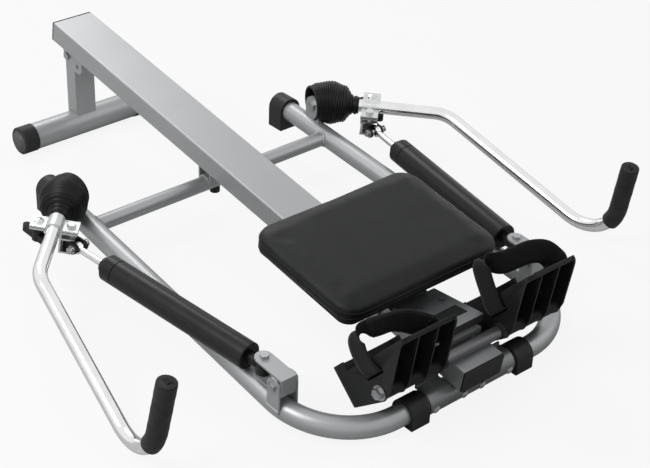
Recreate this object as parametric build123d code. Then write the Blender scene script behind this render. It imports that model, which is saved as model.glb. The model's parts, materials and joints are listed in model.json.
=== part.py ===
from build123d import *
import copy
import os
from math import atan2, cos, degrees, radians, sin, sqrt, tan

os.makedirs("parts", exist_ok=True)

# Whole machine: X to the right, Y from the front bar to the rear, Z up from the floor
skin_gap = 0.05
part_gap = 0.6
weld_lap = 1.5

# Base tube
tube_diameter = 34.0
tube_wall = 2.0
bar_height = 20.1
leg_front_x = 260.4
leg_rear_x = 244.0
leg_end_y = 721.5
leg_end_height = 97.0
corner_radius = 122.0

# Rail
rail_width = 80.0
rail_depth = 37.0
rail_wall = 2.0
rail_length = 1062.5
rail_front_y = -34.0
rail_front_height = 72.7
rail_slope = 8.29
rail_cap_thickness = 3.0
rail_cap_plug = 9.0
rail_corner = 3.0

# Crossbar and its bracket
crossbar_diameter = 25.4
crossbar_wall = 1.8
crossbar_y = 597.7
support_width = 44.0
support_length = 46.0
support_plate = 3.0
support_screw_radius = 4.0
support_nut_radius = 8.5
support_nut_height = 9.0

# Front saddle and feet
saddle_plate = 3.0
saddle_half_length = 85.0
saddle_low_angle = -35.0
saddle_flange_length = 17.0
saddle_lip_height = 4.0
rivet_positions = (18.0, 75.0)
rivet_angle = -11.0
rivet_radius = 6.2
rivet_height = 2.6
rivet_shank = 3.0
foot_centre_x = 106.5
foot_width = 34.0
foot_radius = 22.0
foot_edge = 1.5
rear_foot_length = 33.0
rear_foot_start = 695.5
rear_foot_drop = 36.0

# Rear leg
leg_pivot_inset = 16.4
leg_pivot_drop = 21.6
leg_hole_inset = 45.4
leg_hole_drop = 29.4
ear_lobe_radius = 14.0
ear_hole_radius = 4.2
leg_ear_plate = 3.0
post_width = 41.0
post_depth = 28.0
post_wall = 2.0
post_round = 13.0
leg_bolt_radius = 5.0
bolt_head_radius = 7.5
bolt_head_height = 5.0
stabiliser_diameter = 48.0
stabiliser_wall = 2.0
stabiliser_half = 135.0
stabiliser_cap_length = 29.0
stabiliser_cap_lip = 1.2

# Seat, in the frame of the rail top
seat_centre = 241.3
seat_half_width = 158.0
seat_half_length = 112.5
seat_corner = 34.0
seat_top = 65.0
seat_crown = 7.0
seat_front_under = 42.0
seat_rear_under = 31.0
seat_edge_round = 7.0
seat_waist = 3.0
base_inset = 15.0
base_bottom = 25.0
carriage_half_width = 46.0
carriage_half_length = 66.0
carriage_plate = 3.0
carriage_lip = 9.0
carriage_under = 41.0
roller_radius = 10.0
roller_width = 14.0
roller_offset = 26.0
roller_pitch = 100.0
roller_axle_radius = 3.0

# Pedals
axle_y = -6.0
axle_tube_radius = 9.5
axle_tube_half = 54.0
axle_radius = 5.0
axle_half = 184.0
nut_radius = 8.5
nut_height = 7.0
washer_radius = 12.0
washer_thickness = 1.6
pedal_inner_x = 66.0
pedal_outer_x = 176.0
pedal_hub_start = 56.0
pedal_hub_radius = 12.0
sole_top = (-39.0, 194.0)
sole_heel = (95.0, 47.0)
heel_low = (61.0, 15.0)
pedal_front_low = (-15.0, 76.0)
pedal_front_mid = (-24.0, 96.0)
pedal_skin = 3.2
sole_skin = 4.0
pedal_top_band = 10.0
pedal_toe_corner = 7.0
pedal_heel_corner = 30.0
rib_thickness = 2.4
heel_rim = 14.0
heel_rim_length = 46.0
groove_depth = 1.0
groove_width = 2.0
slot_start = 71.0
slot_end = 115.0
slot_level = -22.0
slot_width = 9.0
strap_width = 38.0
strap_thickness = 2.4
strap_rise = 56.0
strap_spring = 6.0
strap_square = 0.8
arch_shares = (0, 0.25, 0.5, 0.75, 1)
lap_shares = (0.16, 0.3)

# Console
console_half_width = 42.0
console_front_y = 13.0
console_rear_y = 115.0
console_front_height = 114.6
console_rear_height = 104.7
console_front_thickness = 13.0
console_rear_thickness = 8.5
console_corner = 4.0
window_left = -22.0
window_right = 30.0
window_front = 33.0
window_rear = 58.5
window_depth = 2.5
lens_thickness = 1.2
button_x = 28.0
button_y = 84.0
button_radius = 5.6
button_travel = 1.5
button_height = 1.6
button_bore_depth = 6.5
reset_x = -12.0
reset_radius = 1.6
console_bracket_width = 60.0
console_bracket_plate = 2.0
console_hole_share = 0.214

# Arm joint on the right side, mirrored for the left
joint_x = 269.0
joint_y = 634.0
joint_height = 131.0
arm_bend_x = 418.4
arm_bend_y = 475.4
arm_bend_height = 124.8
arm_corner_x = 470.0
arm_corner_y = 130.0
arm_corner_height = 2.0
arm_top_x = 457.7
arm_top_y = 98.2
arm_top_height = 175.5
swivel_lean = 8.0
arm_diameter = 22.0
arm_wall = 1.6
bend_radius = 60.0
corner_bend_radius = 75.0
grip_radius = 15.0
grip_bend_share = 0.28
grip_cap = 4.0
joint_plate = 6.0
joint_plate_half = 17.0
stud_radius = 6.0
barrel_radius = 13.0
barrel_height = 20.0
swivel_pin_radius = 5.0
fork_plate = 4.0
fork_reach = 20.0
collar_start = 19.0
collar_end = 46.0
collar_radius = 13.6
arm_start = 24.5

# Rubber boot
boot_straight = 44.6
boot_base_radius = 31.0
boot_radius = 37.0
boot_late_radius = 32.0
boot_neck_radius = 14.6
boot_ribs = 10
boot_rib_depth = 2.6
boot_wall = 4.6
boot_neck_length = 9.0

# Clamp and knuckle
clamp_distance = 84.0
clamp_width = 30.0
clamp_plate = 3.0
clamp_bolt_offset = 25.0
clamp_half = 37.0
clamp_split = 1.0
clamp_saddle_radius = 14.0
clamp_bolt_radius = 4.0
clamp_head_radius = 7.0
clamp_head_height = 5.0
block_size = 21.0
block_height = 20.0
block_top = 15.0
block_web_gap = 1.6
knuckle_lever = 20.0
fork_gap = 17.6
lug_plate = 4.0
lug_radius = 8.0
pin_radius = 4.0
pin_washer_radius = 7.0
pin_washer = 1.5
pin_end = 5.0
knob_drop = 20.0
knob_hub_radius = 9.0
knob_hub_height = 20.0
knob_reach = 33.0
knob_bar_width = 12.0
knob_bar_height = 12.0
knob_turn = -50.0

# Damper cylinder, clevis and rod
clevis_x = 256.0
ear_bolt_y = 107.0
ear_bolt_height = 75.4
clevis_length = 42.6
clevis_pitch = 4.2
clevis_half_width = 14.0
clevis_inner = 12.3
clevis_plate = 3.0
clevis_front = 13.0
clevis_barrel_radius = 8.0
ear_plate = 3.2
ear_radius = 13.0
ear_bolt_radius = 5.0
lug_barrel_radius = 11.0
lug_barrel_height = 24.0
cylinder_start = 27.0
cylinder_end_gap = 62.0
cylinder_radius = 21.2
cylinder_cap_radius = 21.2
cylinder_cap_length = 22.0
cylinder_nose_radius = 14.5
cylinder_nose_length = 9.0
cylinder_bore = 18.0
cylinder_bore_start = 38.0
cylinder_cap_wall = 16.0
rod_radius = 5.5
piston_length = 12.0
piston_back = 130.0
eye_radius = 9.4
eye_thickness = 8.0
eye_play = 2.2
rest_yaw = 0.00649
rest_slide = 1.52
rest_pitch = 0.00029

MIN_Z = (Align.CENTER, Align.CENTER, Align.MIN)
MIDDLE = (Align.CENTER, Align.CENTER, Align.CENTER)
half = 0.5
double = 2.0
nodes = {}


def unit(v):
    """Vector of length one."""
    return v.normalized()


def frame(origin, x_dir, z_dir):
    """Local frame from its origin, X direction and Z direction."""
    return Plane(origin=origin, x_dir=x_dir, z_dir=z_dir)


def rod(p, q, radius):
    """Solid round bar from one point to another."""
    p, q = Vector(p), Vector(q)
    return Plane(origin=p, z_dir=q - p) * Cylinder(radius, (q - p).length, align=MIN_Z)


def ring(p, q, outer, inner):
    """Tube from one point to another."""
    return rod(p, q, outer) - rod(p, q, inner)


def box(x0, x1, y0, y1, z0, z1):
    """Box from its limits along the three axes."""
    centre = Vector((x0 + x1) * half, (y0 + y1) * half, (z0 + z1) * half)
    return Pos(centre) * Box(x1 - x0, y1 - y0, z1 - z0)


def side_slab(points, x0, x1):
    """Outline drawn in Y and Z, given its width along X."""
    sketch = frame((x0, 0, 0), (0, 1, 0), (1, 0, 0)) * Polygon(*points, align=None)
    return extrude(sketch, amount=x1 - x0, dir=(1, 0, 0))


def lathe(origin, direction, profile):
    """Turned solid: profile points are radius and distance along the axis."""
    place = Plane(origin=origin, z_dir=direction)
    points = [(r, s) for r, s in profile]
    outline = Plane.XZ * Polygon(*points, align=None)
    return place * revolve(outline, Axis.Z)


def bend(a, corner, b, radius):
    """Tangent points, centre and turn of a bend between two straights."""
    u, w = unit(a - corner), unit(b - corner)
    turn = radians(180) - radians(u.get_angle(w))
    reach = radius * tan(turn * half)
    centre = corner + unit(u + w) * (radius / cos(turn * half))
    middle = centre - unit(u + w) * radius
    return corner + u * reach, middle, corner + w * reach, centre, turn


def course(points, radii):
    """Path of straights and tangent bends through corner points."""
    edges = []
    last = points[0]
    for i, radius in enumerate(radii):
        start, middle, end, centre, turn = bend(last, points[i + 1], points[i + 2], radius)
        edges.append(Edge.make_line(last, start))
        edges.append(Edge.make_three_point_arc(start, middle, end))
        last = end
    edges.append(Edge.make_line(last, points[-1]))
    return Wire(edges)


def swept(path, radius):
    """Round bar along a path."""
    return sweep(Plane(origin=path @ 0, z_dir=path % 0) * Circle(radius), path=path)


def keep(name, shape):
    """Store one node."""
    solids = list(shape.solids())
    nodes[name] = solids[0] if len(solids) == 1 else Compound(children=solids)


def keep_pair(name, shape):
    """Store the right-hand node and its mirror image on the left."""
    keep(name + "_right", shape)
    keep(name + "_left", mirror(shape, about=Plane.YZ))


def both_sides(shape):
    """A shape together with its mirror image."""
    return list(shape.solids()) + list(mirror(shape, about=Plane.YZ).solids())


def hexagon_head(p, direction, radius, height):
    """Hexagon bolt head standing on a point."""
    sketch = Plane(origin=p, z_dir=direction) * RegularPolygon(radius, 6)
    return extrude(sketch, amount=height)


tube_radius = tube_diameter * half
crossbar_radius = crossbar_diameter * half
arm_radius = arm_diameter * half
stabiliser_radius = stabiliser_diameter * half
base_slope = (leg_end_height - bar_height) / leg_end_y


def leg_x(y):
    """Distance of a leg's centre line from the middle plane."""
    return leg_front_x + (leg_rear_x - leg_front_x) * y / leg_end_y


def tube_height(y):
    """Height of the base tube's centre line."""
    return bar_height + base_slope * y


rail_angle = radians(rail_slope)
rail_along = Vector(0, cos(rail_angle), sin(rail_angle))
rail_up = Vector(0, -sin(rail_angle), cos(rail_angle))
rail_origin = Vector(0, rail_front_y, rail_front_height)
rail_frame = frame(rail_origin, (1, 0, 0), rail_up)


def rail_top(y):
    """Height of the rail's top face."""
    return rail_front_height + (y - rail_front_y) * tan(rail_angle)


def rail_underside(y):
    """Height of the rail's underside."""
    return rail_top(y) - rail_depth / cos(rail_angle)


rail_rear_y = rail_front_y + rail_length * cos(rail_angle)
leg_pivot_y = rail_rear_y - leg_pivot_inset
leg_pivot_height = rail_underside(leg_pivot_y) - leg_pivot_drop
leg_hole_y = rail_rear_y - leg_hole_inset
leg_hole_height = rail_underside(leg_hole_y) - leg_hole_drop


def on_rail(shape):
    """Move a shape drawn on the rail's top face into the machine."""
    return rail_frame * shape


# Base tube with its two legs
corners = [
    Vector(-leg_rear_x, leg_end_y, leg_end_height),
    Vector(-leg_front_x, 0, bar_height),
    Vector(leg_front_x, 0, bar_height),
    Vector(leg_rear_x, leg_end_y, leg_end_height),
]
base_path = course(corners, (corner_radius, corner_radius))
base_solid = swept(base_path, tube_radius)
keep("u_frame_tube", base_solid - swept(base_path, tube_radius - tube_wall))

# Rail, coped over the saddle, with its caps
saddle_radius = tube_radius + saddle_plate
saddle_envelope = rod((-rail_width, 0, bar_height), (rail_width, 0, bar_height), saddle_radius)
rail_half = rail_width * half
rail_outer = box(-rail_half, rail_half, 0, rail_length, -rail_depth, 0)
rail_outer = fillet(rail_outer.edges().filter_by(Axis.Y), rail_corner)
inner_half = rail_half - rail_wall
rail_hollow = box(-inner_half, inner_half, -rail_wall, rail_length + rail_wall, rail_wall - rail_depth, -rail_wall)
keep("main_rail", on_rail(rail_outer - rail_hollow) - saddle_envelope)


def rail_cap(start, outward):
    """Dark plastic plug that closes one end of the rail."""
    face_end = start + outward * rail_cap_thickness
    plug_end = start - outward * rail_cap_plug
    face = box(-rail_half, rail_half, min(start, face_end), max(start, face_end), -rail_depth, 0)
    face = fillet(face.edges().filter_by(Axis.Y), rail_corner)
    slack = inner_half - skin_gap
    low = rail_wall - rail_depth + skin_gap
    plug = box(-slack, slack, min(start, plug_end), max(start, plug_end), low, -rail_wall - skin_gap)
    return on_rail(face + plug)


keep("rail_front_cap", rail_cap(0, -1) - saddle_envelope)
keep("rail_rear_cap", rail_cap(rail_length, 1))

# Crossbar, coped onto the legs, and the bracket up to the rail
bar_z = tube_height(crossbar_y)
bar_reach = leg_x(crossbar_y)
bar = ring((-bar_reach, crossbar_y, bar_z), (bar_reach, crossbar_y, bar_z), crossbar_radius, crossbar_radius - crossbar_wall)
keep("crossbar", bar - base_solid)
support_half = support_width * half
hug_radius = crossbar_radius + support_plate
hug = ring((-support_half, crossbar_y, bar_z), (support_half, crossbar_y, bar_z), hug_radius, crossbar_radius)
below = box(-support_width, support_width, crossbar_y - support_width, crossbar_y + support_width, 0, bar_z)
hug = hug - below
rail_under = on_rail(box(-support_half, support_half, 0, rail_length, -rail_depth - support_plate, -rail_depth))
plate_window = box(-support_width, support_width, crossbar_y - support_length * half, crossbar_y + support_length * half, 0, leg_pivot_height)
top_plate = rail_under & plate_window
column_top = rail_top(crossbar_y) - rail_depth
columns = box(-support_half, support_half, crossbar_y - hug_radius, crossbar_y - crossbar_radius, bar_z, column_top)
columns += box(-support_half, support_half, crossbar_y + crossbar_radius, crossbar_y + hug_radius, bar_z, column_top)
columns = columns - on_rail(box(-rail_width, rail_width, 0, rail_length, -rail_depth, rail_width))
keep("support_bracket", top_plate + columns + hug)
nut_top = bar_z - crossbar_radius
cap_nut = rod((0, crossbar_y, nut_top - support_nut_height), (0, crossbar_y, nut_top + weld_lap), support_nut_radius)
cap_nut = cap_nut - rod((-support_half, crossbar_y, bar_z), (support_half, crossbar_y, bar_z), crossbar_radius)
keep("support_cap_nut", cap_nut)

# Saddle plate over the front bar
saddle = ring((-saddle_half_length, 0, bar_height), (saddle_half_length, 0, bar_height), saddle_radius, tube_radius)
low = radians(saddle_low_angle)
far = saddle_radius * double
cut_points = [(0, bar_height), (-far * cos(low), bar_height + far * sin(low)), (-far, -far), (far, -far), (far, bar_height)]
saddle = saddle - side_slab(cut_points, -saddle_half_length, saddle_half_length)
flange_top = bar_height + saddle_radius
flange_start = rail_half + part_gap
flange = box(flange_start, saddle_half_length, 0, saddle_flange_length, flange_top - saddle_plate, flange_top)
lip_start = saddle_flange_length - saddle_plate
flange += box(flange_start, saddle_half_length, lip_start, saddle_flange_length, flange_top - saddle_plate, flange_top + saddle_lip_height)
flange = flange - rod((0, 0, bar_height), (saddle_half_length, 0, bar_height), tube_radius)
keep("front_saddle", saddle + flange + mirror(flange, about=Plane.YZ))
angle = radians(rivet_angle)
outward = Vector(0, -cos(angle), sin(angle))
rivets = []
for x in rivet_positions:
    seat_point = Vector(x, 0, bar_height) + outward * saddle_radius
    dome = lathe(seat_point, outward, ((0, 0), (rivet_radius, 0), (rivet_radius, rivet_height * half), (rivet_shank, rivet_height), (0, rivet_height)))
    dome += rod(seat_point - outward * weld_lap, seat_point, rivet_shank)
    dome = dome + rod(seat_point - outward * weld_lap, seat_point + outward * weld_lap * half, rivet_radius - weld_lap)
    rivets += both_sides(dome - rod((0, 0, bar_height), (saddle_half_length, 0, bar_height), saddle_radius))
nodes["saddle_rivets"] = Compound(children=rivets)


def d_foot(x, y0, y1, along_x, centre, floor):
    """D-shaped foot: round above, flat below, clasping the base tube."""
    width = foot_width if along_x else y1 - y0
    place = frame((x - width * half, 0, 0), (0, 1, 0), (1, 0, 0)) if along_x else frame((x, y1, 0), (1, 0, 0), (0, -1, 0))
    offset = (y0 + y1) * half if along_x else 0
    outline = Pos(offset, centre) * Circle(foot_radius)
    drop = centre - floor
    outline += Pos(offset, centre - drop * half) * Rectangle(foot_radius * double, drop)
    outline = outline & (Pos(offset, floor + foot_radius * double) * Rectangle(foot_radius * double, foot_radius * double * double))
    solid = extrude(place * outline, amount=width)
    return solid


front_foot = d_foot(foot_centre_x, 0, 0, True, bar_height, 0)
front_foot = fillet(front_foot.edges().filter_by(Axis.X), foot_edge)
nodes["front_feet"] = Compound(children=both_sides(front_foot - base_solid))
rear_foot_end = rear_foot_start + rear_foot_length
rear_foot_y = (rear_foot_start + rear_foot_end) * half
rear_centre = tube_height(rear_foot_y)
rear_foot = d_foot(leg_x(rear_foot_y), rear_foot_start, rear_foot_end, False, rear_centre, rear_centre - rear_foot_drop)
rear_foot = fillet(rear_foot.edges().filter_by(Axis.Y), foot_edge)
nodes["rear_feet"] = Compound(children=both_sides(rear_foot - base_solid))

# Rear leg with its ears under the rail
pivot = Vector(0, leg_pivot_y, leg_pivot_height)
post_half = post_width * half
ear_in = post_half + part_gap
ear_out = ear_in + leg_ear_plate
lobe_a = rod((ear_in, leg_pivot_y, leg_pivot_height), (ear_out, leg_pivot_y, leg_pivot_height), ear_lobe_radius)
lobe_b = rod((ear_in, leg_hole_y, leg_hole_height), (ear_out, leg_hole_y, leg_hole_height), ear_lobe_radius)
tilt = atan2(leg_pivot_height - leg_hole_height, leg_pivot_y - leg_hole_y)
across = Vector(0, -sin(tilt), cos(tilt)) * ear_lobe_radius
pa, pb = pivot, Vector(0, leg_hole_y, leg_hole_height)
ear_top = rail_top(leg_pivot_y)
ear_points = [
    (pa.Y - across.Y, pa.Z - across.Z),
    (pa.Y, pa.Z),
    (leg_pivot_y + ear_lobe_radius, leg_pivot_height),
    (leg_pivot_y + ear_lobe_radius, ear_top),
    (leg_hole_y - ear_lobe_radius, ear_top),
    (leg_hole_y - ear_lobe_radius, leg_hole_height),
    (pb.Y, pb.Z),
    (pb.Y - across.Y, pb.Z - across.Z),
]
ear = lobe_a + lobe_b + side_slab(ear_points, ear_in, ear_out)
above_rail = on_rail(box(-rail_width, rail_width, 0, rail_length * double, -rail_depth, rail_width))
ear = ear - above_rail
ear_pad = on_rail(box(-ear_out, ear_out, 0, rail_length, -rail_depth - leg_ear_plate, -rail_depth))
pad_window = box(-ear_out, ear_out, leg_hole_y - ear_lobe_radius, leg_pivot_y + ear_lobe_radius, 0, ear_top)
ears = ear + mirror(ear, about=Plane.YZ) + (ear_pad & pad_window)
ears -= rod((-rail_width, leg_pivot_y, leg_pivot_height), (rail_width, leg_pivot_y, leg_pivot_height), leg_bolt_radius)
ears -= rod((-rail_width, leg_hole_y, leg_hole_height), (rail_width, leg_hole_y, leg_hole_height), ear_hole_radius)
keep("leg_bracket", ears)
leg_bolt = rod((-ear_out - bolt_head_height, leg_pivot_y, leg_pivot_height), (ear_out + weld_lap, leg_pivot_y, leg_pivot_height), leg_bolt_radius)
leg_bolt += hexagon_head((-ear_out, leg_pivot_y, leg_pivot_height), (-1, 0, 0), bolt_head_radius, bolt_head_height)
leg_bolt += hexagon_head((ear_out, leg_pivot_y, leg_pivot_height), (1, 0, 0), bolt_head_radius, bolt_head_height)
keep("leg_bolt", leg_bolt)

post_y0 = leg_pivot_y - post_depth * half
post_y1 = leg_pivot_y + post_depth * half
post_top = leg_pivot_height
stab_z = stabiliser_radius + stabiliser_cap_lip
post = box(-post_half, post_half, post_y0, post_y1, stab_z, post_top)
post += rod((-post_half, leg_pivot_y, post_top), (post_half, leg_pivot_y, post_top), post_depth * half)
wall_x = post_half - post_wall
hollow = box(-wall_x, wall_x, post_y0 + post_wall, post_y1 - post_wall, stab_z, post_top - post_depth * half)
stabiliser_axis = (0, leg_pivot_y, stab_z)
stab_a = (-stabiliser_half, leg_pivot_y, stab_z)
stab_b = (stabiliser_half, leg_pivot_y, stab_z)
post = post - hollow - rod(stab_a, stab_b, stabiliser_radius)
running = leg_bolt_radius + skin_gap
post = post - rod((-rail_width, leg_pivot_y, leg_pivot_height), (rail_width, leg_pivot_y, leg_pivot_height), running)
keep("rear_post", post)
keep("stabiliser_tube", ring(stab_a, stab_b, stabiliser_radius, stabiliser_radius - stabiliser_wall))
cap_outer = stabiliser_radius + stabiliser_cap_lip
cap_start = stabiliser_half - stabiliser_cap_length + stabiliser_cap_lip
cap_end = stabiliser_half + stabiliser_cap_lip
cap_profile = (
    (stabiliser_radius, 0),
    (cap_outer, 0),
    (cap_outer, stabiliser_cap_length - foot_edge),
    (cap_outer - foot_edge, stabiliser_cap_length),
    (0, stabiliser_cap_length),
    (0, stabiliser_cap_length - stabiliser_cap_lip),
    (stabiliser_radius, stabiliser_cap_length - stabiliser_cap_lip),
)
stab_cap = lathe((cap_start, leg_pivot_y, stab_z), (1, 0, 0), cap_profile)
nodes["stabiliser_caps"] = Compound(children=both_sides(stab_cap))

# Seat, drawn on the rail's top face
seat_y0 = seat_centre - seat_half_length
seat_y1 = seat_centre + seat_half_length
waist_level = (seat_top + seat_front_under) * half


def pad_outline(grow, level):
    """Rounded outline of the cushion at a level above the rail."""
    width = (seat_half_width + grow) * double
    length = (seat_half_length + grow) * double
    return Pos(0, seat_centre, level) * RectangleRounded(width, length, seat_corner + grow)


cushion = extrude(pad_outline(0, 0), amount=seat_top)
under = [
    (seat_y0 - seat_corner, 0),
    (seat_y1 + seat_corner, 0),
    (seat_y1 + seat_corner, seat_rear_under),
    (seat_y0 - seat_corner, seat_front_under),
]
wedge = side_slab(under, -seat_half_width * double, seat_half_width * double)
cushion = cushion - wedge
crown_ring = pad_outline(-seat_edge_round, seat_top)
crown_top = pad_outline(-seat_corner + seat_edge_round, seat_top + seat_crown)
top_edges = cushion.faces().sort_by(Axis.Z)[-1].edges()
cushion = fillet(top_edges, seat_edge_round)
cushion += loft([crown_ring, crown_top])
keep("seat_cushion", on_rail(cushion))
base = extrude(pad_outline(-base_inset, base_bottom), amount=seat_top)
over = [
    (seat_y0 - seat_corner, seat_top * double),
    (seat_y1 + seat_corner, seat_top * double),
    (seat_y1 + seat_corner, seat_rear_under),
    (seat_y0 - seat_corner, seat_front_under),
]
base = base - side_slab(over, -seat_half_width * double, seat_half_width * double)
keep("seat_base", on_rail(base))
plate_low = base_bottom - carriage_plate
car_y0 = seat_centre - carriage_half_length
car_y1 = seat_centre + carriage_half_length
car_w = carriage_half_width
lip_in = car_w - carriage_plate - carriage_lip
carriage = box(-car_w, car_w, car_y0, car_y1, plate_low, base_bottom)
for side in (-1, 1):
    wall = sorted((side * car_w, side * (car_w - carriage_plate)))
    lip = sorted((side * car_w, side * lip_in))
    carriage += box(wall[0], wall[1], car_y0, car_y1, -carriage_under, base_bottom)
    carriage += box(lip[0], lip[1], car_y0, car_y1, -carriage_under, carriage_plate - carriage_under)
roller_level = roller_radius + skin_gap
roller_y = (seat_centre - roller_pitch * half, seat_centre + roller_pitch * half)
for y in roller_y:
    carriage += rod((-car_w, y, roller_level), (car_w, y, roller_level), roller_axle_radius)
keep("seat_carriage", on_rail(carriage))
for name, y in zip(("rollers_front", "rollers_rear"), roller_y):
    wheels = []
    for side in (-1, 1):
        start = side * roller_offset - roller_width * half
        a, b = (start, y, roller_level), (start + roller_width, y, roller_level)
        wheels += list(on_rail(ring(a, b, roller_radius, roller_axle_radius + skin_gap)).solids())
    nodes[name] = Compound(children=wheels)

# Pedal axle lying on the rail
axle_z = rail_top(axle_y) + axle_tube_radius / cos(rail_angle)
axle = rod((-axle_tube_half, axle_y, axle_z), (axle_tube_half, axle_y, axle_z), axle_tube_radius)
axle += rod((-axle_half, axle_y, axle_z), (axle_half, axle_y, axle_z), axle_radius)
keep("pedal_axle", axle)
nut_start = pedal_outer_x + part_gap
nut = ring((nut_start, axle_y, axle_z), (nut_start + washer_thickness, axle_y, axle_z), washer_radius, axle_radius)
nut += hexagon_head((nut_start + washer_thickness, axle_y, axle_z), (1, 0, 0), nut_radius, nut_height)
nut = nut - rod((0, axle_y, axle_z), (axle_half, axle_y, axle_z), axle_radius)
nodes["axle_nuts"] = Compound(children=both_sides(nut))

# Pedal: a tray open to the front, its sole facing the rower
sole_a = Vector(0, sole_top[0], sole_top[1])
sole_b = Vector(0, sole_heel[0], sole_heel[1])
sole_dir = unit(sole_b - sole_a)
sole_length = (sole_b - sole_a).length
sole_normal = Vector(0, -sole_dir.Z, sole_dir.Y)
sole_frame = frame(sole_a, (1, 0, 0), sole_normal)
side_points = [sole_top, pedal_front_mid, pedal_front_low, heel_low, sole_heel]
pedal_depth = sole_length * half


def sole_outline(inset, start, end):
    """Outline of the pedal on its sole: square at the toe, well rounded at the heel."""
    x0 = pedal_inner_x + inset
    x1 = pedal_outer_x - inset
    face = Polygon((x0, start), (x1, start), (x1, end), (x0, end), align=None)
    face = fillet(face.vertices().sort_by(Axis.Y)[:2], pedal_toe_corner - inset)
    return fillet(face.vertices().sort_by(Axis.Y)[-2:], pedal_heel_corner - inset)


def on_sole(shape):
    """Move a shape from the sole's frame: X across, Y towards the heel, Z out of the sole."""
    return sole_frame * shape


body_face = sole_outline(0, 0, sole_length)
body = on_sole(extrude(body_face, amount=pedal_depth, both=True))
body = body & side_slab(side_points, pedal_inner_x, pedal_outer_x)
cavity_face = sole_outline(pedal_skin, pedal_top_band, sole_length - pedal_skin)
rib_span = (pedal_outer_x - pedal_inner_x) / 3
for i in (1, 2):
    rib_x = pedal_inner_x + rib_span * i
    cavity_face -= Pos(rib_x, sole_length * half) * Rectangle(rib_thickness, sole_length * double)
pedal = body - on_sole(extrude(Pos(0, 0, -sole_skin) * cavity_face, amount=-pedal_depth))
pedal_corner_reach = pedal_heel_corner
rim_face = sole_outline(0, 0, sole_length) - sole_outline(pedal_skin, -pedal_corner_reach, sole_length - pedal_skin)
rim_face = rim_face & (Pos(0, sole_length) * Rectangle(pedal_outer_x * double * double, heel_rim_length * double))
pedal += on_sole(extrude(rim_face, amount=heel_rim))
hub_a, hub_b = (pedal_hub_start, axle_y, axle_z), (pedal_inner_x + pedal_skin, axle_y, axle_z)
pedal += rod(hub_a, hub_b, pedal_hub_radius)
boss = rod((pedal_outer_x, axle_y, axle_z), (pedal_inner_x, axle_y, axle_z), pedal_hub_radius) & body
pedal += boss
pedal -= rod((0, axle_y, axle_z), (axle_half, axle_y, axle_z), axle_radius + skin_gap)
slot_mid = (slot_start + slot_end) * half
pedal -= on_sole(Pos(0, slot_mid, slot_level) * Box(pedal_outer_x * double * double, slot_end - slot_start, slot_width))
keep_pair("pedal", pedal)

# Webbing strap: two layers that lap over the instep
strap_start = slot_mid - strap_width * half
strap_stand = strap_thickness * half + skin_gap
strap_bend = strap_thickness


def strap_band(station, layer):
    """Cross section of one strap layer, drawn across the sole at a station along it."""
    inner_x = pedal_inner_x - strap_stand
    outer_x = pedal_outer_x + strap_stand
    middle = (inner_x + outer_x) * half
    side = 1 if layer else -1
    near = outer_x if layer else inner_x
    span = (near - middle)
    lift = (strap_thickness + skin_gap) if layer else 0
    path = [
        (near - side * (pedal_skin + strap_bend), slot_level),
        (near - side * strap_bend, slot_level),
        (near - side * strap_bend * (1 - half), slot_level + strap_bend * (1 - sqrt(1 - half * half))),
        (near, slot_level + strap_bend),
    ]
    for share in arch_shares:
        angle = radians(180) * half * share
        x = middle + span * cos(angle) ** strap_square
        z = strap_spring + (strap_rise - strap_spring) * sin(angle) ** strap_square
        path.append((x, z + lift * share))
    for share in lap_shares:
        x = middle - span * share
        path.append((x, strap_rise + lift - strap_rise * share * share * half * half))
    left, right = [], []
    for i, (x, z) in enumerate(path):
        xa, za = path[max(i - 1, 0)]
        xb, zb = path[min(i + 1, len(path) - 1)]
        along = unit(Vector(xb - xa, zb - za, 0)) * (strap_thickness * half)
        left.append((x - along.Y, z + along.X))
        right.append((x + along.Y, z - along.X))
    outline = make_face(Polyline(*left, *reversed(right), left[0]))
    return frame((0, station, 0), (1, 0, 0), (0, -1, 0)) * outline


strap_layers = []
for layer in (0, 1):
    ends = [strap_band(strap_start, layer), strap_band(strap_start + strap_width, layer)]
    strap_layers += list(on_sole(loft(ends, ruled=True)).solids())
keep_pair("strap", Compound(children=strap_layers))

# Console on its bracket above the axle
console_side = [
    (console_front_y, console_front_height),
    (console_front_y, console_front_height - console_front_thickness),
    (console_rear_y, console_rear_height - console_rear_thickness),
    (console_rear_y, console_rear_height),
]
housing = side_slab(console_side, -console_half_width, console_half_width)
console_run = console_rear_y - console_front_y
console_rise = console_front_height - console_rear_height
console_tilt = atan2(-console_rise, console_run)
face_dir = Vector(0, cos(console_tilt), sin(console_tilt))
face_up = Vector(0, -sin(console_tilt), cos(console_tilt))
face_frame = frame((0, console_front_y, console_front_height), (1, 0, 0), face_up)
stretch = 1 / cos(console_tilt)


def on_face(x, y, level):
    """Point on the console's sloping top face."""
    return face_frame.from_local_coords(Vector(x, (y - console_front_y) * stretch, level))


window_centre = on_face((window_left + window_right) * half, (window_front + window_rear) * half, 0)
window_size = (window_right - window_left, (window_rear - window_front) * stretch)
window_place = frame(window_centre, (1, 0, 0), face_up)
housing -= window_place * Box(window_size[0], window_size[1], window_depth * double)
button_place = frame(on_face(button_x, button_y, 0), (1, 0, 0), face_up)
bore = button_radius + skin_gap * double * double
housing -= button_place * Cylinder(bore, button_bore_depth * double)
housing -= frame(on_face(reset_x, button_y, 0), (1, 0, 0), face_up) * Cylinder(reset_radius, window_depth * double)
housing = housing - on_rail(box(-rail_width, rail_width, 0, rail_length, -rail_depth, 0))
keep("console_housing", housing)
lens_low = -window_depth
lens = window_place * (Pos(0, 0, lens_low) * Box(window_size[0], window_size[1], lens_thickness, align=MIN_Z))
keep("console_lens", lens)
stem = button_bore_depth - button_travel - skin_gap
button = button_place * (Pos(0, 0, -stem) * Cylinder(button_radius, stem + button_height, align=MIN_Z))
keep("console_button", button)
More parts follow.
